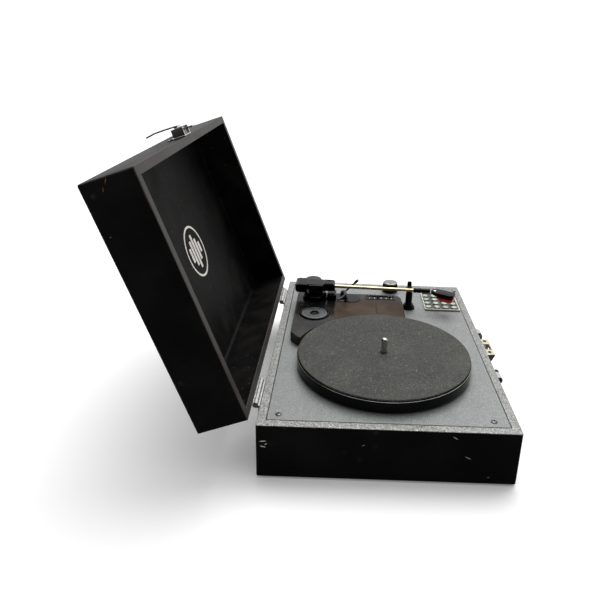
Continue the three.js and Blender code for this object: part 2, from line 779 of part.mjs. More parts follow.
/** Wedge-shaped strike, deepest at the top, with the slot that the hook drops into and swings in. */
function latchStrike() {
  const { half, top, drop, reach } = STRIKE;
  const back = FRONT - GAP;
  const wedge = profileX([
    [back, top],
    [back, top - drop],
    [back - 1.6, top - drop],
    [FRONT - reach, top - 2],
    [FRONT - reach, top],
  ], -half, half);
  const slot = block(-7, 7, LATCH.y - 1.7, LATCH.y + LATCH.arm + 1.3, top - 6, top + 1);
  return carve([wedge], [slot]);
}

add(lid, 'latch_plate', latchPlate(), chrome);
add(lid, 'latch_lever', latchLever(), chrome);
add(lid, 'latch_hook', latchHook(), chrome);
add(player, 'latch_strike', latchStrike(), brassTone);

// ---- Carrying handle ----

function handleBracket() {
  const { y, z } = HANDLE;
  const plate = block(-8, 8, FRONT - GAP - 1.5, FRONT - GAP, z - 10, z + 10);
  const barrel = pinX(4.6, -6, 6, y, z, 20);
  const web = block(-6, 6, y, FRONT - 1, z - 3, z + 3);
  return carve([plate, web, barrel], [pinX(2.5, -7, 7, y, z)]);
}

function handleBail() {
  const { x, y, z, drop, reach, grip } = HANDLE;
  const half = grip / 2;
  const bottom = z - drop;
  const gripBar = block(-reach, reach, y - half, y + half, bottom - half, bottom + half);
  const parts = [gripBar];
  for (const side of [-1, 1]) {
    const inner = side * (reach - 7);
    const outer = side * reach;
    const [x0, x1] = [Math.min(inner, outer), Math.max(inner, outer)];
    parts.push(block(x0, x1, y - 3.4, y + 3.4, bottom, z + 3.4));
    const [p0, p1] = [Math.min(inner, side * (x + 4)), Math.max(inner, side * (x + 4))];
    parts.push(pinX(2, p0, p1, y, z));
  }
  return carve(parts);
}

add(player, 'handle_bracket_left', handleBracket(), chrome, -HANDLE.x);
add(player, 'handle_bracket_right', handleBracket(), chrome, HANDLE.x);
add(player, 'handle', handleBail(), softBlack);

export default player;
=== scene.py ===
"""Suitcase record player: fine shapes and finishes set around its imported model.

Shapes are worked out in millimetres, in the model's own frame, and turned into metres as a piece is made.
The lid's pieces are shaped as if it were shut and then swung open about the hinge line.
"""

import json
import math

import bmesh
import bpy
import numpy as np
from mathutils import Matrix, Vector

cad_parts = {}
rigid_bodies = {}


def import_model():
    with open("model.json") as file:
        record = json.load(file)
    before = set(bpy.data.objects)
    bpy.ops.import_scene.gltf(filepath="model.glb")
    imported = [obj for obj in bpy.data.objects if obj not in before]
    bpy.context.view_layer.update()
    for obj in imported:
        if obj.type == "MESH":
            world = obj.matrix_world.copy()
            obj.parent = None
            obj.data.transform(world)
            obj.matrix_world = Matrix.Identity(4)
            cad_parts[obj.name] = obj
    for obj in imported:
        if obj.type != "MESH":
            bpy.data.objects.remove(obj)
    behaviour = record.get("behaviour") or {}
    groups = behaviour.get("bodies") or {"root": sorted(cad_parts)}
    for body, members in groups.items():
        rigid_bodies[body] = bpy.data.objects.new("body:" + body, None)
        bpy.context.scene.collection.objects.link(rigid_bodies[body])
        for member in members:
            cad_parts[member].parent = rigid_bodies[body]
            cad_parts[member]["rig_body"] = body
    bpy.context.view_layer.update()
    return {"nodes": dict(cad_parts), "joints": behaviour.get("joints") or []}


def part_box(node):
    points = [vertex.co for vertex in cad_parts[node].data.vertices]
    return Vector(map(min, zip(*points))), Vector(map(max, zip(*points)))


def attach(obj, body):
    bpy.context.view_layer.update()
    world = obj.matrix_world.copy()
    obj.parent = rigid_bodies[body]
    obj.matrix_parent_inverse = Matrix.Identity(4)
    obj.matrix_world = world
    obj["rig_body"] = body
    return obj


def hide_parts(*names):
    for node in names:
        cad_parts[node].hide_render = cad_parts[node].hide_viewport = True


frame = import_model()

MM = 0.001
JOINTS = {joint["name"]: joint for joint in frame["joints"]}


def extent(*nodes):
    """Lowest and highest corners that the named model nodes span together, in millimetres."""
    boxes = [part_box(node) for node in nodes]
    low = np.min([np.array(b[0]) for b in boxes], axis=0)
    high = np.max([np.array(b[1]) for b in boxes], axis=0)
    return low / MM, high / MM


def centre_of(node):
    low, high = extent(node)
    return (low + high) / 2


def pivot(joint):
    """Point that a joint turns about, in millimetres."""
    return np.array(JOINTS[joint]["pos_m"]) / MM


CASE_LOW, CASE_HIGH = extent("base_case")
RIM = CASE_HIGH[2]
HALF_WIDTH = CASE_HIGH[0]
FRONT = CASE_LOW[1]
BACK = CASE_HIGH[1]
WALL = 9.0
LID_HEIGHT = 51.3
LID_OPEN = JOINTS["lid_hinge"]["range_deg"][1]
HINGE_LINE = pivot("lid_hinge")


# ---- Shapes ----

class Form:
    """A surface in millimetres: points, and faces as (array of equal polygons, finish number) pairs."""

    def __init__(self, points, faces):
        self.points = np.asarray(points, float).reshape(-1, 3)
        self.faces = faces

    def __add__(self, other):
        shift = len(self.points)
        later = [(corners + shift, tag) for corners, tag in other.faces]
        return Form(np.vstack([self.points, other.points]), self.faces + later)

    def finish(self, tag):
        return Form(self.points, [(corners, tag) for corners, _ in self.faces])

    def move(self, x=0.0, y=0.0, z=0.0):
        return Form(self.points + (x, y, z), self.faces)

    def turn(self, axis, degrees, about=(0.0, 0.0, 0.0)):
        """Rotation matrix of the axis times (point - about), plus about."""
        matrix = np.array(Matrix.Rotation(math.radians(degrees), 3, axis))
        return Form((self.points - about) @ matrix.T + about, self.faces)

    def opened(self):
        """Swung with the lid, from shut to where it stands open."""
        return self.turn("X", -LID_OPEN, HINGE_LINE)


def joined(forms):
    forms = list(forms)
    total = forms[0]
    for form in forms[1:]:
        total = total + form
    return total


def loft(rows, closed=False, tags=None):
    """Point (i, j) is corner j of outline i; neighbouring outlines are joined by four-sided faces.

    The first and last outlines are filled, or joined to each other when closed."""
    rows = np.asarray(rows, float)
    count, around = rows.shape[:2]
    bands = count if closed else count - 1
    i = np.arange(bands)[:, None]
    j = np.arange(around)[None, :]
    above = (i + 1) % count
    beside = (j + 1) % around
    quads = np.stack([
        i * around + j, i * around + beside, above * around + beside, above * around + j,
    ], axis=-1)
    tags = np.zeros(bands, int) if tags is None else np.asarray(tags)
    faces = [(quads[tags == tag].reshape(-1, 4), int(tag)) for tag in np.unique(tags)]
    if not closed:
        faces.append((np.arange(around)[None, ::-1], int(tags[0])))
        faces.append(((count - 1) * around + np.arange(around)[None, :], int(tags[-1])))
    return Form(rows, faces)


def fillet(corners, radius, steps=4, closed=True):
    """Polygon whose corners become arcs tangent to both sides, each no longer than its sides allow."""
    corners = np.asarray(corners, float)
    radii = np.broadcast_to(radius, len(corners))
    rounded_line = []
    for n, corner in enumerate(corners):
        is_end = not closed and n in (0, len(corners) - 1)
        if is_end or radii[n] <= 0:
            rounded_line.append(corner[None])
            continue
        back = corners[n - 1] - corner
        ahead = corners[(n + 1) % len(corners)] - corner
        room = 0.49 * min(np.linalg.norm(back), np.linalg.norm(ahead))
        back, ahead = back / np.linalg.norm(back), ahead / np.linalg.norm(ahead)
        half = 0.5 * math.acos(np.clip(back @ ahead, -1, 1))
        if half > math.pi / 2 - 0.02:
            rounded_line.append(corner[None])
            continue
        reach = min(radii[n] / math.tan(half), room)
        bisector = (back + ahead) / np.linalg.norm(back + ahead)
        centre = corner + bisector * reach / math.cos(half)
        start, end = corner + back * reach - centre, corner + ahead * reach - centre
        sweep_angle = math.pi - 2 * half
        t = np.linspace(0, 1, steps + 1)[:, None]
        arc = (np.sin((1 - t) * sweep_angle) * start + np.sin(t * sweep_angle) * end)
        rounded_line.append(centre + arc / math.sin(sweep_angle))
    return np.vstack(rounded_line)


def inset(outline, amount):
    """Closed counter-clockwise outline drawn inwards along its mitred normals."""
    ahead = np.roll(outline, -1, axis=0) - outline
    ahead /= np.linalg.norm(ahead, axis=1)[:, None]
    normal = np.stack([ahead[:, 1], -ahead[:, 0]], axis=1)
    before = np.roll(normal, 1, axis=0)
    spread = 1 + np.sum(before * normal, axis=1)[:, None]
    return outline - amount * (before + normal) / np.maximum(spread, 0.3)


def rectangle(x0, x1, y0, y1, radius=0.0, steps=5):
    corners = [(x0, y0), (x1, y0), (x1, y1), (x0, y1)]
    return fillet(corners, radius, steps) if radius > 0 else np.array(corners, float)


def circle(x, y, radius, steps=48):
    t = np.arange(steps) * 2 * math.pi / steps
    return np.stack([x + radius * np.cos(t), y + radius * np.sin(t)], axis=1)


def signed_area(outline):
    """Half the sum of x dy - y dx round the outline."""
    ahead = np.roll(outline, -1, axis=0)
    return 0.5 * np.sum(outline[:, 0] * ahead[:, 1] - outline[:, 1] * ahead[:, 0])


def level(outline, z):
    return np.column_stack([outline, np.full(len(outline), z)])


def slab(outline, low, high, soft=0.4, steps=3, soft_low=None):
    """Outline raised from low to high with rounded rims.

    At a rim it is drawn in by soft (1 - cos a) while it climbs by soft sin a, for a from 0 to 90 degrees."""
    soft_low = soft if soft_low is None else soft_low
    outline = np.asarray(outline, float)
    angle = np.linspace(0, math.pi / 2, steps + 1)
    rows = []
    if soft_low > 0:
        for a in angle[:-1]:
            drawn = inset(outline, soft_low * (1 - math.sin(a)))
            rows.append(level(drawn, low + soft_low * (1 - math.cos(a))))
    rows.append(level(outline, low + soft_low))
    rows.append(level(outline, high - soft))
    if soft > 0:
        for a in angle[1:]:
            drawn = inset(outline, soft * (1 - math.cos(a)))
            rows.append(level(drawn, high - soft * (1 - math.sin(a))))
    return loft(rows)


def block(x0, x1, y0, y1, z0, z1, soft=0.4, corner=None, steps=3):
    corner = max(soft * 1.05, 0.05) if corner is None else corner
    return slab(rectangle(x0, x1, y0, y1, corner, steps), z0, z1, soft, steps)


def frame_ring(x0, x1, y0, y1, radius, profile, tags=None):
    """Profile of (distance in from the outer face, height) pairs carried round a rounded rectangle."""
    rows = [
        level(rectangle(x0 + u, x1 - u, y0 + u, y1 - u, max(radius - u, 0.3)), z)
        for u, z in profile
    ]
    return loft(rows, closed=True, tags=tags)


def revolve(profile, steps=96, closed=False, flutes=0, depth=0.0, tags=None):
    """Profile of (radius, height) pairs turned about Z: x = r cos t, y = r sin t.

    Where depth is given, r grows by depth cos(flutes t) on rows away from the axis."""
    profile = np.asarray(profile, float)
    t = np.arange(steps) * 2 * math.pi / steps
    r = np.maximum(profile[:, :1], 0.02) * np.ones(steps)
    swell = np.broadcast_to(depth, len(profile))[:, None]
    r = r + swell * np.cos(flutes * t)
    z = profile[:, 1:2] * np.ones(steps)
    return loft(np.stack([r * np.cos(t), r * np.sin(t), z], axis=-1), closed, tags)


def along(path, section, plane_normal, scale=None):
    """Section of (across, out) pairs carried along a flat path.

    Each point is path + across * plane_normal + out * (tangent x plane_normal), times the local scale."""
    path = np.asarray(path, float)
    section = np.asarray(section, float)
    tangent = np.gradient(path, axis=0)
    tangent /= np.linalg.norm(tangent, axis=1)[:, None]
    normal = np.asarray(plane_normal, float)
    out = np.cross(tangent, normal)
    scale = np.ones(len(path)) if scale is None else np.asarray(scale, float)
    across_part = (scale[:, None] * section[:, 0])[:, :, None] * normal
    out_part = (scale[:, None] * section[:, 1])[:, :, None] * out[:, None, :]
    return loft(path[:, None, :] + across_part + out_part)


def screw(radius=2.2, height=0.9, cross=0.5):
    """Domed cross-head screw: height falls with r squared, and sinks inside a cross of two bars."""
    rings, steps = 12, 48
    share = np.linspace(1, 0, rings + 1)[:-1]
    t = np.arange(steps) * 2 * math.pi / steps
    x = radius * share[:, None] * np.cos(t)
    y = radius * share[:, None] * np.sin(t)
    bar = np.minimum(np.abs(x), np.abs(y)) < 0.13 * radius
    inside = bar & (np.hypot(x, y) < 0.62 * radius)
    dome = height * (1 - 0.55 * share[:, None] ** 2) + 0 * x
    z = np.where(inside, dome - cross, dome)
    foot = np.stack([radius * np.cos(t), radius * np.sin(t), np.full(steps, -0.3)], axis=-1)
    return loft(np.concatenate([foot[None], np.stack([x, y, z], axis=-1)]))


def outward(form):
    """Turns every face over if the volume its faces enclose comes out negative."""
    volume = 0.0
    for corners, _ in form.faces:
        p = form.points[corners]
        first = p[:, 0]
        for k in range(1, corners.shape[1] - 1):
            volume += np.sum(np.cross(p[:, k], p[:, k + 1]) * first)
    if volume < 0:
        return Form(form.points, [(corners[:, ::-1], tag) for corners, tag in form.faces])
    return form


# ---- Pieces ----

def place(obj, body, replaces):
    bpy.context.scene.collection.objects.link(obj)
    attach(obj, body)
    if replaces:
        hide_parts(*replaces)


def smooth(mesh, degrees):
    mesh.shade_smooth()
    mesh.set_sharp_from_angle(angle=math.radians(degrees))


def piece(name, form, finishes, body, replaces=(), crease=38):
    """Puts a form into a mesh object that rides on a body."""
    form = outward(form)
    mesh = bpy.data.meshes.new(name)
    sides = np.concatenate([np.full(len(c), c.shape[1]) for c, _ in form.faces])
    corners = np.concatenate([c.ravel() for c, _ in form.faces])
    tags = np.concatenate([np.full(len(c), tag) for c, tag in form.faces])
    starts = np.concatenate([[0], np.cumsum(sides)[:-1]])
    mesh.vertices.add(len(form.points))
    mesh.vertices.foreach_set("co", (form.points * MM).astype(np.float32).ravel())
    mesh.loops.add(len(corners))
    mesh.loops.foreach_set("vertex_index", corners.astype(np.int32))
    mesh.polygons.add(len(sides))
    mesh.polygons.foreach_set("loop_start", starts.astype(np.int32))
    mesh.polygons.foreach_set("material_index", tags.astype(np.int32))
    for finish in finishes:
        mesh.materials.append(finish)
    mesh.update(calc_edges=True)
    mesh.validate()
    smooth(mesh, crease)
    obj = bpy.data.objects.new(name, mesh)
    place(obj, body, replaces)
    add_weighted_normals(obj)
    return obj


def add_weighted_normals(obj):
    modifier = obj.modifiers.new("even shading", "WEIGHTED_NORMAL")
    modifier.keep_sharp = True


def softened(node, finishes, width=0.4, segments=2, choose=None, limit=34):
    """A model node's own solid with its faces made whole and its edges rounded, standing for that node.

    choose(centres, normals), in millimetres, gives each face its finish number."""
    source = frame["nodes"][node]
    shape = bmesh.new()
    shape.from_mesh(source.data)
    bmesh.ops.remove_doubles(shape, verts=shape.verts, dist=4e-6)
    bmesh.ops.dissolve_limit(
        shape, angle_limit=math.radians(0.8), verts=shape.verts, edges=shape.edges,
    )
    mesh = bpy.data.meshes.new(node + "_fine")
    shape.to_mesh(mesh)
    shape.free()
    if "custom_normal" in mesh.attributes:
        mesh.attributes.remove(mesh.attributes["custom_normal"])
    for finish in finishes:
        mesh.materials.append(finish)
    faces = len(mesh.polygons)
    numbers = np.zeros(faces, np.int32)
    if choose:
        centres, normals = np.zeros(faces * 3), np.zeros(faces * 3)
        mesh.polygons.foreach_get("center", centres)
        mesh.polygons.foreach_get("normal", normals)
        picked = choose(centres.reshape(-1, 3) / MM, normals.reshape(-1, 3))
        numbers = np.asarray(picked, np.int32)
    mesh.polygons.foreach_set("material_index", numbers)
    smooth(mesh, limit)
    obj = bpy.data.objects.new(node + "_fine", mesh)
    place(obj, source["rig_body"], (node,))
    if width > 0:
        bevel = obj.modifiers.new("soft edges", "BEVEL")
        bevel.width = width * MM
        bevel.segments = segments
        bevel.limit_method = "ANGLE"
        bevel.angle_limit = math.radians(limit)
        bevel.use_clamp_overlap = True
    add_weighted_normals(obj)


def cut(obj, form):
    """Takes a form's volume out of a piece."""
    tool_form = outward(form)
    tool_mesh = bpy.data.meshes.new("tool")
    polygons = [list(map(int, row)) for c, _ in tool_form.faces for row in c]
    tool_mesh.from_pydata((tool_form.points * MM).tolist(), [], polygons)
    tool = bpy.data.objects.new("tool", tool_mesh)
    bpy.context.scene.collection.objects.link(tool)
    modifier = obj.modifiers.new("cut", "BOOLEAN")
    modifier.object = tool
    modifier.solver = "EXACT"
    while obj.modifiers[0] != modifier:
        obj.modifiers.move(len(obj.modifiers) - 1, 0)
    others = [m for m in obj.modifiers if m != modifier]
    for other in others:
        other.show_viewport = False
    bpy.context.view_layer.update()
    evaluated = obj.evaluated_get(bpy.context.evaluated_depsgraph_get())
    mesh = bpy.data.meshes.new_from_object(evaluated)
    mesh.name = obj.name
    obj.modifiers.remove(modifier)
    for other in others:
        other.show_viewport = True
    obj.data = mesh
    bpy.data.objects.remove(tool)
    bpy.data.meshes.remove(tool_mesh)


# ---- Node helpers ----

class Board:
    """Adds nodes to a tree and joins them; an input may be a plain value or another node's socket."""

    def __init__(self, tree):
        self.tree = tree

    def node(self, kind, inputs=(), **settings):
        made = self.tree.nodes.new(kind)
        for key, value in settings.items():
            setattr(made, key, value)
        for key, value in dict(inputs).items():
            if isinstance(value, bpy.types.NodeSocket):
                self.tree.links.new(value, made.inputs[key])
            else:
                made.inputs[key].default_value = value
        return made

    def math(self, operation, a, b=0.0, clamp=False):
        made = self.node("ShaderNodeMath", {0: a, 1: b}, operation=operation, use_clamp=clamp)
        return made.outputs[0]

    def vector(self, operation, a, b=(0.0, 0.0, 0.0)):
        made = self.node("ShaderNodeVectorMath", {0: a, 1: b}, operation=operation)
        return made.outputs["Value" if operation == "LENGTH" else "Vector"]

    def scaled(self, vector, scale):
        made = self.node("ShaderNodeVectorMath", {0: vector, "Scale": scale}, operation="SCALE")
        return made.outputs["Vector"]

    def step(self, value, low, high, to_low=0.0, to_high=1.0):
        made = self.node("ShaderNodeMapRange", {
            "Value": value, "From Min": low, "From Max": high, "To Min": to_low, "To Max": to_high,
        }, interpolation_type="SMOOTHSTEP")
        return made.outputs["Result"]

    def noise(self, vector, scale, detail=2.0, roughness=0.5):
        made = self.node("ShaderNodeTexNoise", {
            "Vector": vector, "Scale": scale, "Detail": detail, "Roughness": roughness,
        })
        return made.outputs["Fac"]

    def cells(self, vector, scale):
        made = self.node("ShaderNodeTexVoronoi", {"Vector": vector, "Scale": scale})
        return made.outputs["Distance"]

    def blend(self, share, a, b):
        made = self.node("ShaderNodeMix", {0: share, 6: a, 7: b}, data_type="RGBA")
        return made.outputs[2]

    def pull(self, name, **inputs):
        made = self.node("ShaderNodeGroup", node_tree=GROUPS[name])
        for key, value in inputs.items():
            socket = made.inputs[key.replace("_", " ")]
            if isinstance(value, bpy.types.NodeSocket):
                self.tree.links.new(value, socket)
            else:
                socket.default_value = value
        return made.outputs


GROUPS = {}
KINDS = {"value": "NodeSocketFloat", "vector": "NodeSocketVector", "colour": "NodeSocketColor"}


def effect(name, inputs, outputs):
    """Decorator: builds a shader node group with named sockets, filled in by the function below it."""
    def build(fill):
        tree = bpy.data.node_groups.new(name, "ShaderNodeTree")
        for label, kind in inputs:
            tree.interface.new_socket(name=label, in_out="INPUT", socket_type=KINDS[kind])
        for label, kind in outputs:
            tree.interface.new_socket(name=label, in_out="OUTPUT", socket_type=KINDS[kind])
        board = Board(tree)
        entry = tree.nodes.new("NodeGroupInput").outputs
        results = fill(board, entry)
        leaving = tree.nodes.new("NodeGroupOutput")
        for label, socket in zip([label for label, _ in outputs], results):
            tree.links.new(socket, leaving.inputs[label])
        GROUPS[name] = tree
        return fill
    return build


@effect("pebble", [("Vector", "vector"), ("Scale", "value")], [("Height", "value"), ("Tone", "value")])
def pebble_grain(b, entry):
    """Fine leathercloth: rounded cells broken up by noise."""
    scale = entry["Scale"]
    warp = b.scaled(b.node("ShaderNodeTexNoise", {
        "Vector": entry["Vector"], "Scale": b.math("MULTIPLY", scale, 0.5),
    }).outputs["Color"], b.math("DIVIDE", 0.35, scale))
    place_in = b.vector("ADD", entry["Vector"], warp)
    cell = b.cells(place_in, scale)
    fine = b.noise(entry["Vector"], b.math("MULTIPLY", scale, 2.4), 2.0)
    domes = b.math("MULTIPLY", b.math("SUBTRACT", 1.0, cell), 0.7)
    height = b.math("ADD", domes, b.math("MULTIPLY", fine, 0.3))
    tone = b.noise(entry["Vector"], b.math("MULTIPLY", scale, 0.016), 3.0)
    return [height, tone]


@effect("flake", [("Vector", "vector"), ("Scale", "value")], [
    ("Sparkle", "value"), ("Tone", "value"), ("Height", "value"),
])
def metal_flake(b, entry):
    """Silver paint: each small cell has its own brightness, and a few stand out as bright flakes."""
    cell = b.node("ShaderNodeTexVoronoi", {"Vector": entry["Vector"], "Scale": entry["Scale"]})
    own = b.node("ShaderNodeSeparateColor", {"Color": cell.outputs["Color"]}).outputs
    sparkle = b.step(own["Red"], 0.78, 0.98)
    cloud = b.noise(entry["Vector"], b.math("MULTIPLY", entry["Scale"], 0.02), 3.0)
    tone = b.math("ADD", b.math("MULTIPLY", own["Green"], 0.7), b.math("MULTIPLY", cloud, 0.3))
    return [sparkle, tone, own["Blue"]]


@effect("edge", [("Vector", "vector"), ("Centre", "vector"), ("Half", "vector")], [("Distance", "value")])
def edge_distance(b, entry):
    """Distance to the nearest edge of a box: the middle one of the three distances to its faces."""
    away = b.vector("ABSOLUTE", b.vector("SUBTRACT", entry["Vector"], entry["Centre"]))
    gap = b.node("ShaderNodeSeparateXYZ", {"Vector": b.vector("SUBTRACT", entry["Half"], away)}).outputs
    low = b.math("MINIMUM", gap["X"], gap["Y"])
    high = b.math("MAXIMUM", gap["X"], gap["Y"])
    return [b.math("MAXIMUM", low, b.math("MINIMUM", high, gap["Z"]))]


@effect("rubbed", [
    ("Vector", "vector"), ("Distance", "value"), ("Width", "value"), ("Amount", "value"),
], [("Mask", "value")])
def rubbed_edge(b, entry):
    """Wear that starts at an edge and stops raggedly."""
    ragged = b.noise(entry["Vector"], 260.0, 4.0, 0.7)
    broad = b.noise(entry["Vector"], 22.0, 2.0)
    limit = b.math("MULTIPLY", entry["Width"], b.math("MULTIPLY", ragged, b.math("MULTIPLY", broad, 2.6)))
    near = b.math("SUBTRACT", 1.0, b.step(b.math("DIVIDE", entry["Distance"], limit), 0.6, 1.1))
    return [b.math("MULTIPLY", near, entry["Amount"], clamp=True)]


@effect("nick", [
    ("Vector", "vector"), ("Centre", "vector"), ("Length", "value"), ("Width", "value"), ("Lean", "value"),
], [("Mask", "value")])
def single_nick(b, entry):
    """One scuff on an upright side: an ellipse in the YZ plane with a ragged outline."""
    off = b.vector("SUBTRACT", entry["Vector"], entry["Centre"])
    leaned = b.node("ShaderNodeVectorRotate", {
        "Vector": off, "Angle": entry["Lean"],
    }, rotation_type="X_AXIS").outputs["Vector"]
    parts = b.node("ShaderNodeSeparateXYZ", {"Vector": leaned}).outputs
    flat = b.node("ShaderNodeCombineXYZ", {
        "X": b.math("DIVIDE", parts["X"], 0.004),
        "Y": b.math("DIVIDE", parts["Y"], entry["Length"]),
        "Z": b.math("DIVIDE", parts["Z"], entry["Width"]),
    }).outputs["Vector"]
    ragged = b.math("MULTIPLY", b.noise(entry["Vector"], 900.0, 3.0, 0.7), 1.3)
    reach = b.math("ADD", b.vector("LENGTH", flat), ragged)
    return [b.math("SUBTRACT", 1.0, b.step(reach, 1.0, 1.45))]


@effect("dust", [("Vector", "vector"), ("Scale", "value"), ("Amount", "value")], [("Mask", "value")])
def dust_specks(b, entry):
    """Scattered specks: small spots in a few of many cells, over a faint film."""
    cell = b.node("ShaderNodeTexVoronoi", {"Vector": entry["Vector"], "Scale": entry["Scale"]})
    own = b.node("ShaderNodeSeparateColor", {"Color": cell.outputs["Color"]}).outputs
    spot = b.math("SUBTRACT", 1.0, b.step(cell.outputs["Distance"], 0.08, 0.22))
    chosen = b.step(own["Green"], 0.72, 0.95)
    film = b.step(b.noise(entry["Vector"], 18.0, 4.0, 0.65), 0.45, 0.8, 0.0, 0.12)
    specks = b.math("ADD", b.math("MULTIPLY", spot, chosen), film)
    return [b.math("MULTIPLY", specks, entry["Amount"], clamp=True)]


@effect("hairline", [("Vector", "vector"), ("Amount", "value")], [("Mask", "value")])
def hairline_scratches(b, entry):
    """Long thin marks in two directions, from stretched noise."""
    def family(scale, turn):
        turned = b.node("ShaderNodeVectorRotate", {
            "Vector": entry["Vector"], "Angle": turn,
        }, rotation_type="Z_AXIS").outputs["Vector"]
        stretched = b.vector("MULTIPLY", turned, scale)
        return b.step(b.noise(stretched, 1.0, 3.0, 0.6), 0.68, 0.76)
    first = family((14.0, 900.0, 900.0), 0.5)
    second = family((1100.0, 20.0, 1100.0), -0.3)
    both = b.math("MAXIMUM", first, second)
    return [b.math("MULTIPLY", both, entry["Amount"], clamp=True)]


@effect("moulded", [("Vector", "vector"), ("Scale", "value")], [("Height", "value"), ("Smudge", "value")])
def moulded_skin(b, entry):
    """Moulded plastic: a very fine texture and broad, faint smudges."""
    height = b.noise(entry["Vector"], entry["Scale"], 2.0, 0.6)
    smudge = b.noise(entry["Vector"], 34.0, 3.0, 0.6)
    return [height, smudge]


# ---- Finishes ----

def srgb(red, green, blue):
    """Linear colour of an 8-bit display colour."""
    share = np.array([red, green, blue]) / 255
    linear = np.where(share <= 0.04045, share / 12.92, ((share + 0.055) / 1.055) ** 2.4)
    return (*[float(v) for v in linear], 1.0)


def new_finish(name, **settings):
    """A material with its shader, its tree's board and the object coordinates."""
    made = bpy.data.materials.new(name)
    made.use_nodes = True
    shader = made.node_tree.nodes["Principled BSDF"]
    for label, value in settings.items():
        shader.inputs[label.replace("_", " ")].default_value = value
    board = Board(made.node_tree)
    where = board.node("ShaderNodeTexCoord").outputs["Object"]
    return made, shader, board, where


def dress(board, shader, colour=None, roughness=None, height=None, depth=0.0001, strength=0.5):
    links = board.tree.links
    if colour is not None:
        links.new(colour, shader.inputs["Base Color"])
    if roughness is not None:
        links.new(roughness, shader.inputs["Roughness"])
    if height is not None:
        bump = board.node("ShaderNodeBump", {"Strength": strength, "Distance": depth, "Height": height})
        links.new(bump.outputs["Normal"], shader.inputs["Normal"])


def plastic(name, dark, light, rough, spread=0.08, scale=2600.0, depth=0.00003, dust=0.0, **settings):
    """Moulded plastic: its colour drifts between dark and light with broad smudges."""
    made, shader, b, where = new_finish(name, **settings)
    skin = b.pull("moulded", Vector=where, Scale=scale)
    colour = b.blend(b.step(skin["Smudge"], 0.3, 0.7), dark, light)
    roughness = b.step(skin["Smudge"], 0.25, 0.75, rough - spread, rough + spread)
    if dust > 0:
        specks = b.pull("dust", Vector=where, Scale=620.0, Amount=dust)["Mask"]
        colour = b.blend(specks, colour, srgb(178, 174, 166))
    dress(b, shader, colour, roughness, skin["Height"], depth, 0.35)
    return made


def metal(name, tone, dull, rough, spread=0.05, **settings):
    """Bright metal: faint hairlines and smudges over a clean base."""
    made, shader, b, where = new_finish(name, Metallic=1.0, **settings)
    skin = b.pull("moulded", Vector=where, Scale=900.0)
    lines = b.pull("hairline", Vector=where, Amount=0.5)["Mask"]
    colour = b.blend(b.step(skin["Smudge"], 0.35, 0.75, 0.0, 0.6), tone, dull)
    worn = b.math("MULTIPLY", lines, 0.12)
    roughness = b.math("ADD", b.step(skin["Smudge"], 0.3, 0.7, rough - spread, rough + spread), worn)
    dress(b, shader, colour, roughness, skin["Height"], 0.00002, 0.2)
    return made


def silver_paint(name, dark, light, rough, scale, metallic, glitter):
    """Silver-grey flake paint of the deck and the rim of the case."""
    made, shader, b, where = new_finish(name, Metallic=metallic)
    paint = b.pull("flake", Vector=where, Scale=scale)
    finer = b.pull("flake", Vector=where, Scale=scale * 2.3)
    tone = b.math("ADD", b.math("MULTIPLY", paint["Tone"], 0.6), b.math("MULTIPLY", finer["Tone"], 0.4))
    colour = b.blend(b.step(tone, 0.15, 0.85), dark, light)
    colour = b.blend(b.math("MULTIPLY", paint["Sparkle"], glitter), colour, srgb(236, 236, 232))
    specks = b.pull("dust", Vector=where, Scale=300.0, Amount=0.35)["Mask"]
    colour = b.blend(specks, colour, srgb(120, 118, 112))
    roughness = b.math("SUBTRACT", rough, b.math("MULTIPLY", paint["Sparkle"], 0.18))
    dress(b, shader, colour, roughness, finer["Height"], 0.00006, 0.5)
    return made


def nick_marks(b, where, marks):
    """Strongest of several scuffs, each given as centre, length, width and lean."""
    worst = 0.0
    for centre, length, width, lean in marks:
        mark = b.pull("nick", Vector=where, Centre=[c * MM for c in centre],
                      Length=length * MM, Width=width * MM, Lean=math.radians(lean))["Mask"]
        worst = b.math("MAXIMUM", worst, mark)
    return worst


def case_covering(name, box_low, box_high, shut_turn, marks, brown_marks=()):
    """Black leathercloth over board, rubbed along the edges of its box and scuffed where it was knocked."""
    made, shader, b, where = new_finish(name)
    shader.inputs["Specular IOR Level"].default_value = 0.16
    shut = where
    if shut_turn:
        about = b.vector("SUBTRACT", where, tuple(HINGE_LINE * MM))
        turned = b.node("ShaderNodeVectorRotate", {
            "Vector": about, "Angle": math.radians(shut_turn),
        }, rotation_type="X_AXIS").outputs["Vector"]
        shut = b.vector("ADD", turned, tuple(HINGE_LINE * MM))
    grain = b.pull("pebble", Vector=shut, Scale=1150.0)
    centre = tuple((box_low + box_high) / 2 * MM)
    half = tuple((box_high - box_low) / 2 * MM)
    distance = b.pull("edge", Vector=shut, Centre=centre, Half=half)["Distance"]
    worn = b.pull("rubbed", Vector=shut, Distance=distance, Width=0.0016, Amount=0.5)["Mask"]
    colour = b.blend(b.step(grain["Tone"], 0.3, 0.7), srgb(9, 8, 8), srgb(15, 14, 13))
    colour = b.blend(worn, colour, srgb(74, 66, 60))
    specks = b.pull("dust", Vector=shut, Scale=70.0, Amount=0.05)["Mask"]
    colour = b.blend(specks, colour, srgb(120, 116, 110))
    lines = b.pull("hairline", Vector=shut, Amount=0.03)["Mask"]
    colour = b.blend(lines, colour, srgb(90, 86, 80))
    if brown_marks:
        colour = b.blend(nick_marks(b, shut, brown_marks), colour, srgb(132, 72, 40))
    colour = b.blend(nick_marks(b, shut, marks), colour, srgb(196, 190, 178))
    roughness = b.step(grain["Tone"], 0.25, 0.75, 0.46, 0.58)
    dress(b, shader, colour, roughness, grain["Height"], 0.00009, 0.55)
    return made


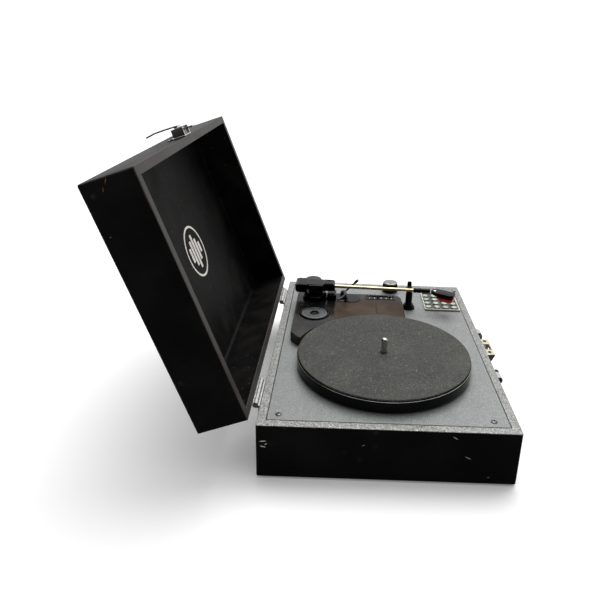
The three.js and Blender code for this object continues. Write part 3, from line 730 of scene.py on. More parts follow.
def lining(name, low, high, rough, shine):
    """Matte black paint on board, dusty, with faint rubbing."""
    made, shader, b, where = new_finish(name)
    shader.inputs["Specular IOR Level"].default_value = shine
    skin = b.pull("moulded", Vector=where, Scale=1400.0)
    colour = b.blend(b.step(skin["Smudge"], 0.3, 0.75), low, high)
    specks = b.pull("dust", Vector=where, Scale=170.0, Amount=0.3)["Mask"]
    colour = b.blend(specks, colour, srgb(110, 108, 104))
    roughness = b.step(skin["Smudge"], 0.3, 0.7, rough - 0.06, rough + 0.06)
    dress(b, shader, colour, roughness, skin["Height"], 0.00008, 0.5)
    return made


def felted_rubber(name):
    """Mat on the platter: grey-black with fine pale specks and a slight nap."""
    made, shader, b, where = new_finish(name)
    paint = b.pull("flake", Vector=where, Scale=1250.0)
    fine = b.noise(where, 2600.0, 3.0, 0.7)
    colour = b.blend(b.step(paint["Tone"], 0.1, 0.9), srgb(38, 38, 35), srgb(65, 65, 60))
    colour = b.blend(b.math("MULTIPLY", paint["Sparkle"], 0.3), colour, srgb(140, 140, 134))
    specks = b.pull("dust", Vector=where, Scale=240.0, Amount=0.55)["Mask"]
    colour = b.blend(specks, colour, srgb(186, 184, 176))
    dress(b, shader, colour, b.step(fine, 0.2, 0.8, 0.72, 0.9), fine, 0.00012, 0.6)
    return made


def woven_cloth(name):
    """Speaker cloth: two sets of threads at right angles, each a sine across the face."""
    made, shader, b, where = new_finish(name)
    parts = b.node("ShaderNodeSeparateXYZ", {"Vector": where}).outputs
    thread = 2 * math.pi / 0.0011
    across = b.math("ABSOLUTE", b.math("SINE", b.math("MULTIPLY", parts["X"], thread / 2)))
    upward = b.math("ABSOLUTE", b.math("SINE", b.math("MULTIPLY", parts["Z"], thread / 2)))
    height = b.math("MAXIMUM", across, upward)
    colour = b.blend(height, srgb(12, 12, 12), srgb(46, 45, 43))
    dress(b, shader, colour, None, height, 0.0002, 0.8)
    shader.inputs["Roughness"].default_value = 0.85
    return made


def scuff(from_back, from_rim, length, width, lean):
    """Mark on the near side, set out from the back edge and up from the rim: centre, length, width, lean."""
    return (CASE_LOW[0], BACK - from_back, RIM + from_rim), length, width, lean


BACK_CORNER_CHIPS = [scuff(7, -18, 4.8, 0.8, 5), scuff(7, -24, 4.2, 0.9, -10), scuff(10, -21, 2.0, 0.7, 30)]
MIDDLE_SCUFF = scuff(103, -19, 2.2, 0.3, 25)
FRONT_SCUFFS = [scuff(190, -7, 4.4, 0.3, -30), scuff(204, -29, 5.2, 0.35, -25), scuff(226, -51, 1.6, 0.4, 20)]
BASE_MARKS = [*BACK_CORNER_CHIPS, MIDDLE_SCUFF, *FRONT_SCUFFS]
LID_MARKS = [scuff(205, 44, 0.5, 0.5, 0)]
LID_BROWN = [scuff(250, 27, 4.2, 0.5, -30), scuff(244, 32, 3.4, 0.35, -20)]

LID_LOW = np.array([-HALF_WIDTH, FRONT, RIM + 0.3])
LID_HIGH = np.array([HALF_WIDTH, BACK, RIM + LID_HEIGHT])

covering = case_covering("case_covering", CASE_LOW, CASE_HIGH, 0.0, BASE_MARKS)
lid_covering = case_covering("lid_covering", LID_LOW, LID_HIGH, LID_OPEN, LID_MARKS, LID_BROWN)
rim_paint = silver_paint("rim_paint", srgb(66, 67, 65), srgb(160, 161, 158), 0.42, 1100.0, 0.3, 0.5)
deck_paint = silver_paint("deck_paint", srgb(96, 99, 99), srgb(144, 147, 146), 0.46, 1900.0, 0.25, 0.2)
lid_lining = lining("lid_lining", srgb(12, 11, 11), srgb(25, 23, 22), 0.5, 0.04)
lid_edge = lining("lid_edge", srgb(40, 36, 34), srgb(60, 54, 51), 0.5, 0.3)
gloss_black = plastic(
    "platter_gloss", srgb(3, 3, 4), srgb(6, 6, 7), 0.14, 0.04, dust=0.02, Specular_IOR_Level=0.14,
)
# Light grey for the black platter's top chamfer: a painted highlight along the platter's rim.
platter_edge_painted_highlight = plastic("platter_edge_painted_highlight", srgb(150, 150, 146), srgb(190, 190, 186), 0.2, 0.05, Metallic=0.6)
shell_black = plastic("shell_gloss", srgb(4, 4, 4), srgb(9, 9, 9), 0.12, 0.04, Specular_IOR_Level=0.14)
smoke = plastic(
    "smoke_plastic", srgb(12, 10, 9), srgb(34, 31, 28), 0.2, 0.05, dust=0.6, Specular_IOR_Level=0.16,
)
brown_panel = plastic(
    "brown_panel", srgb(56, 43, 32), srgb(76, 61, 48), 0.34, 0.06, 2200.0, dust=0.03, Specular_IOR_Level=0.06,
)
satin_black = plastic(
    "satin_black", srgb(6, 6, 6), srgb(12, 12, 12), 0.3, 0.08, 3200.0, 0.00006, Specular_IOR_Level=0.14,
)
mat_finish = felted_rubber("mat_rubber")
chrome = metal("chrome_plate", (0.66, 0.66, 0.65, 1), (0.44, 0.43, 0.41, 1), 0.13, 0.04)
brass = metal("pale_brass", srgb(226, 218, 196), srgb(196, 186, 158), 0.22)
steel = metal("plain_steel", srgb(176, 178, 180), srgb(130, 131, 133), 0.35)
tube_gold = metal("tube_champagne", srgb(238, 224, 178), srgb(206, 190, 140), 0.2)
screw_grey = metal("screw_grey", srgb(104, 104, 104), srgb(60, 60, 60), 0.3)
dark_screw = metal("blackened_screw", srgb(70, 70, 70), srgb(36, 36, 36), 0.32)
adapter_silver = plastic("adapter_silver", srgb(62, 64, 66), srgb(104, 106, 108), 0.24, 0.05, Metallic=0.25)
knob_silver = metal("knob_silver", srgb(146, 146, 145), srgb(96, 96, 95), 0.3)
knob_smoke = plastic("knob_smoke", srgb(46, 39, 34), srgb(68, 59, 53), 0.3, 0.05, Specular_IOR_Level=0.12)
stylus_red = plastic("stylus_red", srgb(226, 4, 30), srgb(240, 14, 44), 0.3, Coat_Weight=0.3)
key_pale = plastic("key_pale", srgb(136, 148, 132), srgb(176, 186, 170), 0.14, 0.05, Coat_Weight=0.5)
key_bed = plastic("key_bed_olive", srgb(24, 25, 17), srgb(42, 41, 29), 0.3)
frame_light = plastic("keypad_frame_light", srgb(186, 184, 170), srgb(212, 210, 196), 0.34, dust=0.2)
white_print = plastic("white_print", srgb(214, 210, 202), srgb(232, 229, 222), 0.5)
board_green = plastic("board_green", srgb(22, 74, 42), srgb(34, 98, 58), 0.35)
belt_rubber = plastic("belt_rubber", srgb(18, 18, 18), srgb(30, 30, 30), 0.75)
foot_rubber = plastic("foot_rubber", srgb(24, 24, 24), srgb(40, 39, 38), 0.8, depth=0.0001)
bottom_black = plastic("bottom_moulding", srgb(22, 22, 22), srgb(32, 32, 31), 0.55, depth=0.0001, dust=0.2)
speaker_cloth = woven_cloth("speaker_cloth")


# ---- Base case, deck and what is fixed to them ----

def case_walls():
    """Four walls in one ring: a rounded profile carried round the case, its rim with its own finish."""
    soft = 0.8
    corner = 0.5 * soft
    seat = RIM - 3.3
    foot = [(soft, 0), (0.3 * soft, 0.3 * soft), (0, soft)]
    top = [
        (0, RIM - soft), (0.3 * soft, RIM - 0.3 * soft), (soft, RIM),
        (WALL - corner, RIM), (WALL, RIM - corner),
    ]
    ledge = [(WALL, seat), (WALL + 4, seat), (WALL + 4, 0)]
    tags = [0] * len(foot) + [1] * len(top) + [0] * len(ledge)
    return frame_ring(-HALF_WIDTH, HALF_WIDTH, FRONT, BACK, 2.2, foot + top + ledge, tags)


def build_case():
    case = piece("case_walls", case_walls(), [covering, rim_paint], "base", ("base_case",))
    low, high = extent("power_jack")
    gap = 0.5
    jack_hole = block(low[0] - gap, high[0] + gap, BACK - 20, BACK + 1, low[2] - gap, high[2] + gap, 0.1)
    cut(case, jack_hole)
    for node in ("speaker_left", "speaker_right"):
        x, _, z = centre_of(node)
        hole = slab(circle(x, z, 17, 64), -FRONT - 20, -FRONT + 1, 0)
        cut(case, hole.turn("X", 90))
        build_grille(node.replace("speaker", "grille"), x, z)


def build_grille(name, x, z):
    """Cloth disc in the sound hole behind a turned black ring."""
    cloth = revolve([(0, 0), (16.6, 0), (16.6, 0.5), (12, 0.9), (6, 1.15), (0, 1.25)], 72)
    cloth = cloth.turn("X", 90).move(x, FRONT + 2.2, z)
    piece(name + "_cloth", cloth, [speaker_cloth], "base")
    ring = revolve([
        (16.9, -2), (17.2, -2), (17.2, 0.3), (19.4, 0.3), (20.0, 0.7), (19.7, 1.3), (18.4, 1.7), (17.2, 1.4),
        (16.7, 0.6),
    ], 72, closed=True)
    piece(name + "_ring", ring.turn("X", 90).move(x, FRONT, z), [satin_black], "base")


def build_deck():
    def paint(centres, normals):
        return np.where(centres[:, 2] < RIM - 3.5, 1, 0)
    softened("deck_plate", [deck_paint, satin_black], 0.35, 2, paint)
    low, high = extent("deck_plate")
    for side_x, y in ((-1, high[1] - 10.5), (-1, low[1] + 14.5), (1, high[1] - 10.5), (1, low[1] + 12.5)):
        x = side_x * (high[0] - 8.5)
        # Each deck screw sits on a blackened washer, and its dark ring also stands in for painted shade in
        # the recess round the screw head.
        washer = revolve([(0, -0.2), (3.3, -0.2), (3.3, 0.15), (3.0, 0.35), (0, 0.35)], 40)
        head = screw(2.5, 1.1, 0.7).turn("Z", 20 + 25 * side_x).move(z=0.3)
        name = f"deck_screw_{'near' if side_x < 0 else 'far'}_{'back' if y > 0 else 'front'}"
        both = (washer + head.finish(1)).move(x, y, RIM)
        piece(name, both, [dark_screw, screw_grey], "base")


def build_bottom():
    high = extent("base_bottom")[1]
    underside = CASE_LOW[2]

    def choose(centres, normals):
        return np.where(centres[:, 2] < underside - 0.2, 1, 0)
    softened("base_bottom", [bottom_black, foot_rubber], 0.5, 2, choose)
    for side_x in (-1, 1):
        for side_y in (-1, 1):
            x, y = side_x * (high[0] - 14), side_y * (high[1] - 14)
            where = f"{'right' if side_x > 0 else 'left'}_{'back' if side_y > 0 else 'front'}"
            screw_x, screw_y = x - side_x * 16, y - side_y * 2
            head = screw(2.4, 0.9, 0.5).turn("X", 180).move(screw_x, screw_y, underside)
            piece("bottom_screw_" + where, head, [dark_screw], "base")


def build_jack():
    low, high = extent("power_jack")
    softened("power_jack", [satin_black], 0.3)
    centre = (low + high) / 2
    pin = revolve([(0, 0), (0.75, 0), (0.75, 6.4), (0.5, 7), (0, 7.1)], 24)
    pin = pin.turn("X", -90).move(centre[0], high[1] - 8.9, centre[2])
    piece("jack_pin", pin, [chrome], "base")
    ring = revolve([
        (3.05, -0.4), (4.4, -0.4), (4.4, 0.2), (4.1, 0.4), (3.3, 0.4), (3.05, 0.15),
    ], 40, closed=True)
    piece("jack_ring", ring.turn("X", -90).move(centre[0], high[1], centre[2]), [steel], "base")


# ---- Platter ----

def build_platter():
    low, high = extent("platter")
    centre = (low + high) / 2
    outer = (high[0] - low[0]) / 2
    bottom, top = low[2], high[2]
    skin = 3.0
    under = top - skin
    profile = [
        (4.0, bottom + 0.6), (12, bottom + 0.6), (12, under),
        (62, under), (62, bottom + 1), (65, bottom + 1), (65, under),
        (outer - skin, under), (outer - skin, bottom + 0.3), (outer - skin + 0.3, bottom),
        (outer - 0.6, bottom),
        (outer - 0.15, bottom + 0.2), (outer, bottom + 0.7), (outer, top - 1.0), (outer - 0.25, top - 0.4),
        (outer - 0.6, top - 0.1), (outer - 1.1, top), (4.0, top),
    ]
    # The chamfer row at the platter's top edge takes the light grey finish, a painted highlight along the
    # rim.
    painted_highlight_row = len(profile) - 4
    tags = [int(row == painted_highlight_row) for row in range(len(profile))]
    form = revolve(profile, 240, closed=True, tags=tags).move(centre[0], centre[1])
    finishes = [gloss_black, platter_edge_painted_highlight]
    piece("platter_disc", form, finishes, "platter", ("platter",), crease=50)

    low, high = extent("slip_mat")
    radius = (high[0] - low[0]) / 2
    bottom, top = low[2], high[2]
    profile = [
        (4.2, bottom), (radius - 0.5, bottom), (radius, bottom + 0.5), (radius, top - 0.5),
        (radius - 0.18, top - 0.15), (radius - 0.6, top), (51.6, top), (51.3, top - 0.3), (50.6, top - 0.3),
        (50.3, top), (9, top), (8.6, top - 0.25), (4.6, top - 0.25), (4.2, top - 0.5),
    ]
    form = revolve(profile, 240, closed=True).move(centre[0], centre[1])
    piece("mat", form, [mat_finish], "platter", ("slip_mat",), crease=50)

    low, high = extent("spindle")
    top = high[2]
    radius = 3.6
    tip_height = radius * 0.9
    shoulder = top - tip_height
    tip = [
        (radius * math.cos(a), shoulder + tip_height * math.sin(a))
        for a in np.linspace(0.05, 1.5, 9)
    ]
    profile = [
        (0, low[2]), (radius, low[2]), (radius, RIM + 0.3), (10, RIM + 0.3), (10, RIM + 2.0),
        (9.6, RIM + 2.2),
        (radius, RIM + 2.2), (radius, shoulder), *tip, (0, top),
    ]
    form = revolve(profile, 64).move(centre[0], centre[1])
    piece("spindle_pin", form, [chrome], "base", ("spindle",))


def build_drive():
    low, high = extent("motor_pulley")
    centre = (low + high) / 2
    bottom, top = low[2], high[2]
    crown = [
        (5.0 - 0.25 * (2 * s - 1) ** 2, bottom + 0.9 + s * (top - bottom - 1.3))
        for s in np.linspace(0, 1, 7)
    ]
    profile = [
        (1.3, bottom), (5.7, bottom), (5.9, bottom + 0.3), (5.7, bottom + 0.7), (4.8, bottom + 0.85), *crown,
        (4.5, top), (1.3, top),
    ]
    form = revolve(profile, 64, closed=True).move(centre[0], centre[1])
    piece("pulley", form, [brass], "motor_pulley", ("motor_pulley",))
    softened("motor", [steel], 0.4)
    softened("drive_belt", [belt_rubber], 0.15, 1)


# ---- Tonearm platform ----

PLATFORM_TOP = RIM + 11.5
ARM_X, ARM_Y, AXLE_Z = pivot("arm_lift")
LIFT_X, LIFT_Y = 97.0, 43.0
REST_X, REST_Y = 98.0, -44.5
SPEED_SLOT = (-24.0, -3.0)
STOP_SLOT = (-1.0, 12.7)


def platform_outline():
    """Straight back and far sides, and an arc round the platter's centre between them."""
    low, high = extent("tonearm_platform")
    platter_low, platter_high = extent("platter")
    centre = (platter_low + platter_high) / 2
    arc_radius = 103.0
    near = -9.0
    end = math.asin((low[1] - centre[1]) / arc_radius)
    t = np.linspace(math.radians(70), end, 60)
    arc = np.stack([centre[0] + arc_radius * np.cos(t), centre[1] + arc_radius * np.sin(t)], axis=1)
    turn = [(high[0] - 40, low[1]), (high[0], low[1]), (high[0], low[1] + 60)]
    corner = fillet(turn, 12, 8, closed=False)[1:-1]
    back = [(high[0], high[1]), (near, high[1]), (near - 12, high[1] - 9)]
    return np.vstack([arc, corner, fillet([corner[-1], *back, arc[0]], 1.2, 4, closed=False)[1:-1]])


def build_platform():
    low = extent("tonearm_platform")[0]
    top = PLATFORM_TOP
    outline = platform_outline()
    body = slab(outline[::-1] if signed_area(outline) < 0 else outline, low[2], top, 1.0, 4, soft_low=0.2)
    platform = piece("platform_body", body, [smoke], "base", ("tonearm_platform",))
    adapter_low, adapter_high = extent("adapter_45")
    x, y = ((adapter_low + adapter_high) / 2)[:2]
    well = slab(circle(x, y, 19.7, 96), adapter_low[2] - 0.3, top + 1, 0)
    cut(platform, well)
    cut(platform, slab(circle(LIFT_X, LIFT_Y, 1.9, 32), RIM + 2.6, top + 3, 0))
    for node, slot_y in (("speed_switch", SPEED_SLOT), ("auto_stop_switch", STOP_SLOT)):
        centre_x = centre_of(node)[0]
        cut(platform, block(centre_x - 2.6, centre_x + 2.6, *slot_y, RIM + 8.9, top + 1, 0.05))
    peg = revolve([(0, -1), (3.05, -1), (3.05, 5.6), (2.7, 6.0), (0, 6.1)], 40)
    piece("adapter_peg", peg.move(x, y, adapter_low[2]), [smoke], "base")

    turret = revolve([
        (0, -0.5), (17, -0.5), (17, 1.6), (16.6, 2.3), (15.9, 2.5), (13.4, 2.5), (13.0, 2.2), (12.6, 2.2),
        (12.2, 2.5), (7.4, 2.5), (7.0, 2.9), (7.0, 8.1), (6.6, 8.5), (0, 8.5),
    ], 96)
    piece("arm_turret", turret.move(ARM_X, ARM_Y, top), [shell_black], "base")

    bridge = block(86.5, 107.5, 55.4, 67.8, top - 0.2, top + 8.5, 1.5, 3.2, 5)
    piece("arm_bridge", bridge, [shell_black], "base")
    skirt = revolve([
        (7.6, 14.5), (14.6, 14.5), (15.3, 14.8), (15.6, 15.5), (15.6, 17.2), (15.0, 17.6), (15.0, 18.6),
        (14.4, 19.5), (13.4, 19.8), (7.6, 19.8),
    ], 96, closed=True)
    piece("yoke_skirt", skirt.move(ARM_X, ARM_Y, RIM), [shell_black], "arm_swing")

    tongue = slab(tongue_outline(96.5, 12.5, 22, 54), top - 0.2, top + 0.8, 0.35)
    piece("cue_tongue", tongue, [shell_black], "base")
    arc = outline[(outline[:, 1] < 58.5) & (outline[:, 0] < 88)]
    arc = arc[np.argsort(arc[:, 1])]
    away = arc - centre_of("platter")[:2]
    arc = arc + 1.4 * away / np.linalg.norm(away, axis=1)[:, None]
    inlay = np.vstack([[(91.5, arc[-1, 1]), (91.5, arc[0, 1])], arc])
    inlay = inlay if signed_area(inlay) > 0 else inlay[::-1]
    piece("brown_inlay", slab(inlay, top - 0.2, top + 0.14, 0.1, 2), [brown_panel], "base")
    for name, dx in (("left", -2.8), ("right", 2.8)):
        ear_outline = fillet([(-4, 0), (4, 0), (4, 4), (2.2, 6.7), (-2.2, 6.7), (-4, 4)], 1.6, 5)
        ear = slab(ear_outline, -0.9, 0.9, 0.25)
        ear = ear.turn("X", 90).turn("Z", 90).move(106 + dx, 46, top - 0.1)
        piece("cue_ear_" + name, ear, [satin_black], "base")
    build_switch_plates(top)


def tongue_outline(x, half, low, high):
    """Rectangle whose near end is a half circle."""
    t = np.linspace(math.pi, 2 * math.pi, 33)
    round_end = np.stack([x + half * np.cos(t), low + half + half * np.sin(t)], axis=1)
    return np.vstack([round_end, [(x + half, high), (x - half, high)]])


def build_switch_plates(top):
    """Raised frames round the two switch slots, with plain index ticks beside them."""
    for name, (y0, y1), ticks in (("speed", SPEED_SLOT, 3), ("stop", STOP_SLOT, 2)):
        outer = rectangle(96.5, 109, y0 - 2.4, y1 + 2.4, 1.6, 4)
        plate = slab(outer, top - 0.2, top + 0.6, 0.25)
        obj = piece(f"{name}_plate", plate, [satin_black], "base")
        cut(obj, block(102.9, 108.1, y0, y1, top - 1, top + 2, 0.05))
        for n, y in enumerate(np.linspace(y0 + 3.5, y1 - 3.5, ticks)):
            tick = block(98.2, 101.6, y - 0.45, y + 0.45, top + 0.5, top + 0.72, 0.08)
            piece(f"{name}_tick_{n + 1}", tick, [white_print], "base")
    seam = block(52.5, 91.4, 0.6, 2.8, top - 0.12, top + 0.2, 0.03)
    piece("platform_seam", seam, [satin_black], "base")


def build_adapter():
    low, high = extent("adapter_45")
    centre = (low + high) / 2
    thick = high[2] - low[2]
    # The adapter's outer rim is black plastic, and its black ring also stands in for painted shade in the gap
    # between the adapter and its well.
    body = revolve([
        (3.65, 0), (18.4, 0), (19, 0.6), (19, thick - 0.9), (18.6, thick - 0.3), (18.0, thick), (17.0, thick),
        (16.6, thick - 0.4), (16.6, thick - 1.6), (3.65, thick - 1.6),
    ], 120, closed=True)
    rim = body.move(centre[0], centre[1], low[2])
    piece("adapter_rim", rim, [shell_black], "adapter_45")
    face = revolve([
        (5.9, thick - 1.9), (16.4, thick - 1.9), (16.4, thick - 0.45), (16.0, thick - 0.25),
        (13.2, thick - 0.35), (12.9, thick - 0.75), (12.2, thick - 0.75), (11.9, thick - 0.35),
        (6.3, thick - 0.45), (5.9, thick - 0.7),
    ], 120, closed=True)
    face = face.move(centre[0], centre[1], low[2])
    piece("adapter_face", face, [adapter_silver], "adapter_45", ("adapter_45",))
    # The black hub round the centre hole is black plastic, and it also stands in for painted shade in and
    # round the hole.
    hub = revolve([
        (3.65, thick - 1.9), (5.7, thick - 1.9), (5.7, thick - 0.3), (5.4, thick - 0.05), (4.0, thick - 0.05),
        (3.65, thick - 0.4),
    ], 72, closed=True)
    piece("adapter_hub", hub.move(centre[0], centre[1], low[2]), [shell_black], "adapter_45")


def build_switch_knob(node):
    """Slider with a ribbed saddle: its height is a raised cosine along the travel, plus fine ribs."""
    low, high = extent(node)
    centre = (low + high) / 2
    y = np.linspace(low[1], high[1], 41)
    s = (y - centre[1]) / (high[1] - low[1]) * 2
    tall = high[2] - low[2]
    ribs = 0.12 * np.cos(s * 9 * math.pi) * (np.abs(s) < 0.5)
    saddle = np.cos(np.clip(s * 1.25, -1, 1) * math.pi / 2) ** 2
    crest = low[2] + tall * (0.55 + 0.43 * saddle) + np.minimum(ribs, 0)
    half = (high[0] - low[0]) / 2
    rows = []
    for place_y, height in zip(y, crest):
        section = fillet([(-half, low[2]), (half, low[2]), (half, height), (-half, height)], 0.45, 3)
        along_y = np.full(len(section), place_y)
        rows.append(np.column_stack([centre[0] + section[:, 0], along_y, section[:, 1]]))
    piece(node + "_knob", loft(rows), [satin_black], node, (node,))


# ---- Tonearm ----

ARM_PITCH = 1.1
SHELL_TURN = -26.0
TUBE_ROOT = -27.3
TUBE_END = -73.0 - ARM_Y
TUBE_LENGTH = TUBE_ROOT - TUBE_END


def on_arm(form):
    """From the arm's own frame, its axle at the origin and the tube along -Y, to where it lies."""
    return form.turn("X", ARM_PITCH).move(ARM_X, ARM_Y, AXLE_Z)


def on_shell(form):
    """From the headshell's frame, its root at the origin, to its place at the tube's end."""
    return on_arm(form.turn("Z", SHELL_TURN).move(y=TUBE_END))


def side_screw(x, y, z, side, radius=1.9):
    return screw(radius, 0.7, 0.4).turn("Y", 90 * side).move(x, y, z)


def build_arm():
    softened("arm_yoke", [shell_black], 0.8, 3)
    softened("arm_block", [shell_black], 0.7, 3)
    for side in (-1, 1):
        name = "left" if side < 0 else "right"
        cap = side_screw(side * 12.0, 0, 0, side, 2.6)
        piece("yoke_screw_" + name, cap.move(ARM_X, ARM_Y, AXLE_Z), [dark_screw], "arm_swing")
    cover = slab(rectangle(-7.4, 7.4, -24.5, -12.5, 1.4, 4), 5.3, 6.3, 0.35)
    piece("block_cover", on_arm(cover), [shell_black], "arm_lift")
    rib_section = rectangle(-12.2, 12.2, -6.0, 4.0, 1.0, 3)
    grooves = joined([
        along([(0, 14.2 + 2.4 * n, 0), (0, 14.8 + 2.4 * n, 0)], rib_section, (1, 0, 0))
        for n in range(4)
    ])
    piece("weight_ribs", on_arm(grooves), [satin_black], "arm_lift")
    wire_path = np.array([
        (3.5 + 1.6 * math.sin(s * 2.4), -26.5 + s * 17, 3.4 + 3.2 * math.sin(s * math.pi))
        for s in np.linspace(0, 1, 20)
    ])
    wire = along(wire_path, circle(0, 0, 0.45, 10), (1, 0, 0))
    piece("arm_lead", on_arm(wire), [belt_rubber], "arm_lift")

    length = TUBE_LENGTH
    tube = revolve([
        (0, -1.2), (2.2, -1.2), (2.2, length - 13.6), (1.9, length - 13.2), (1.9, length - 0.2),
        (0, length - 0.1),
    ], 48)
    tube = tube.turn("X", 90).move(y=TUBE_ROOT)
    piece("tube", on_arm(tube), [tube_gold], "arm_lift", ("arm_tube",))
    collar = revolve([
        (2.25, length - 23.5), (2.9, length - 23.4), (3.2, length - 23.0), (3.2, length - 19.2),
        (2.8, length - 18.9), (2.8, length - 18.1), (3.2, length - 17.8), (3.2, length - 12.6),
        (2.9, length - 12.1), (2.25, length - 12.0),
    ], 48, closed=True)
    collar = collar.turn("X", 90).move(y=TUBE_ROOT)
    piece("tube_collar", on_arm(collar), [satin_black], "arm_lift")
    sleeve = revolve([
        (2.25, length - 11.9), (2.9, length - 11.8), (3.0, length - 11.0), (3.0, length - 1.6),
        (2.6, length - 0.4), (2.25, length - 0.3),
    ], 48, closed=True)
    sleeve = sleeve.turn("X", 90).move(y=TUBE_ROOT)
    piece("tube_sleeve", on_arm(sleeve), [satin_black], "arm_lift")
    build_headshell()


def build_headshell():
    outline = fillet([
        (-8, -8.4), (-8, -30), (-5, -34), (5, -34), (8, -30), (8, -8.4), (3, -1.8), (-3, -1.8),
    ], 1.4, 4)
    shell = slab(outline, -2.2, 2.8, 0.9, 4)
    piece("shell_body", on_shell(shell), [shell_black], "arm_lift", ("headshell",))
    path = np.array([(6.6, -30.2, 2.0), (9.6, -30.2, 2.0), (12.0, -30.3, 2.15), (13.6, -30.4, 2.5)])
    lift = along(path, rectangle(-1.5, 1.5, -0.55, 0.55, 0.4, 3), (0, 1, 0), [1, 0.95, 0.85, 0.7])
    piece("finger_lift", on_shell(lift), [shell_black], "arm_lift")
    piece("shell_screw", on_shell(screw(1.8, 0.9, 0.5).move(-1.2, -6.6, 2.7)), [chrome], "arm_lift")
    ridge = slab(fillet([(-4.2, -31), (4.2, -31), (4.8, -12), (-4.8, -12)], 1.2, 4), 2.4, 3.1, 0.3)
    piece("shell_ridge", on_shell(ridge), [shell_black], "arm_lift")

    body = fillet([(-31, -2.6), (-31, -4.6), (-28, -6), (-11, -6), (-11, -2.6)], 0.6, 3)
    body = on_shell(prism_x(body, -5.6, 5.6, 0.4))
    piece("cartridge_body", body, [satin_black], "arm_lift", ("cartridge",))
    guard = fillet([(-33.4, -4.2), (-32.6, -7.6), (-27, -8.8), (-15, -8.0), (-13, -4.2)], 0.7, 4)
    guard = on_shell(prism_x(guard, -6.6, 6.6, 0.5))
    piece("stylus_guard", guard, [stylus_red], "arm_lift", ("stylus",))
    path = [(0, -27, -7.9), (0, -29.5, -8.6), (0, -31.4, -8.7)]
    cantilever = along(path, rectangle(-0.5, 0.5, -0.3, 0.3, 0.15, 2), (1, 0, 0))
    piece("stylus_cantilever", on_shell(cantilever), [steel], "arm_lift")


def prism_x(section, x0, x1, soft):
    """Outline of (y, z) pairs raised along X with rounded rims."""
    outline = section if signed_area(section) > 0 else section[::-1]
    upright = slab(outline, x0, x1, soft)
    points = upright.points[:, [2, 0, 1]]
    return Form(points, upright.faces)


def build_rest():
    high = extent("rest_post")[1]
    x, y = REST_X, REST_Y
    shelf = RIM + 24.2
    turned_part = revolve([
        (0, 0.3), (8.5, 0.3), (8.8, 0.6), (8.8, 2.3), (8.3, 2.8), (7.2, 2.8), (6.9, 3.2), (6.9, 5.6),
        (6.4, 6.2), (4.9, 6.2), (4.6, 6.6), (4.6, 21.2), (4.2, 22.2), (0, 22.2),
    ], 72)
    piece("rest_column", turned_part.move(x, y, RIM), [shell_black], "base", ("rest_post",))
    seat = block(x - 4, x + 4.6, y - 4, y + 4, shelf - 2.4, shelf, 0.5)
    cheek = block(x + 1.9, x + 4.6, y - 4, y + 4, shelf - 1, high[2], 0.5)
    piece("rest_cradle", seat + cheek, [satin_black], "base")
    clip = pivot("rest_clip_hinge")
    curl = np.array([(0, 0, 0.2), (0.1, 0, 2.2), (0.0, 0, 4.2), (-0.5, 0, 5.6), (-1.2, 0, 6.4)])
    blade = along(curl, rectangle(-3, 3, -0.7, 0.7, 0.4, 3), (0, 1, 0), [1, 1, 1, 0.95, 0.8])
    barrel = revolve([(0, -3), (0.9, -3), (1.2, -2.7), (1.2, 2.7), (0.9, 3), (0, 3)], 32).turn("X", 90)
    form = (blade + barrel).turn("Y", 20).move(*clip)
    piece("clip_finger", form, [satin_black], "rest_clip", ("rest_clip",))


def build_cue():
    hub_at = pivot("cue_lever_hinge")
    hub = revolve([(0, -1.5), (2.1, -1.5), (2.4, -1.2), (2.4, 1.2), (2.1, 1.5), (0, 1.5)], 40).turn("Y", 90)
    rod = revolve([
        (0, 0.4), (1.2, 0.4), (1.15, 21), (1.3, 21.6), (1.8, 22.4), (1.85, 27.4), (1.5, 28.3), (0, 28.6),
    ], 32)
    form = (hub + rod).turn("X", 44).move(*hub_at)
    piece("cue_rod", form, [satin_black], "cue_lever", ("cue_lever",))

    softened("lift_pin", [dark_screw], 0.35, 2)
    bush = revolve([
        (1.95, -0.3), (3.4, -0.3), (3.4, 0.9), (3.1, 1.3), (2.2, 1.3), (1.95, 1.1),
    ], 40, closed=True)
    piece("lift_bush", bush.move(LIFT_X, LIFT_Y, PLATFORM_TOP + 0.8), [satin_black], "base")


# ---- Knobs and keys ----

def build_knob(node, radius_top, finishes):
    """Turned knob: a skirt, a finely fluted side and a shallow dished cap with a pointer groove."""
    low, high = extent(node)
    centre = (low + high) / 2
    top = high[2]
    body = revolve([
        (0, low[2]), (3, low[2]), (3, RIM + 0.3), (radius_top + 0.4, RIM + 0.3),
        (radius_top + 0.6, RIM + 0.6),
        (radius_top + 0.6, RIM + 1.7), (radius_top + 0.2, RIM + 2.1), (radius_top, RIM + 2.6),
        (radius_top - 0.5, top - 2.6), (radius_top - 0.75, top - 2.2), (radius_top - 0.9, top - 2.0),
        (0, top - 2.0),
    ], 160, flutes=40, depth=[0, 0, 0, 0, 0, 0, 0, 0.22, 0.22, 0, 0, 0])
    piece(node + "_body", body.move(centre[0], centre[1]), [finishes[0]], node, (node,))
    edge = radius_top - 0.75
    cap = revolve([
        (0, top - 2.3), (edge, top - 2.3), (edge + 0.1, top - 1.9), (edge, top - 1.1),
        (edge - 0.5, top - 0.4),
        (edge - 1.4, top - 0.05), (edge - 2.6, top), (edge * 0.5, top - 0.25), (0, top - 0.35),
    ], 120)
    obj = piece(node + "_cap", cap.move(centre[0], centre[1]), [finishes[1]], node)
    x, y = centre[:2]
    groove = block(x - edge - 1, x - edge * 0.45, y - 0.5, y + 0.5, top - 0.8, top + 1, 0.05)
    cut(obj, groove)


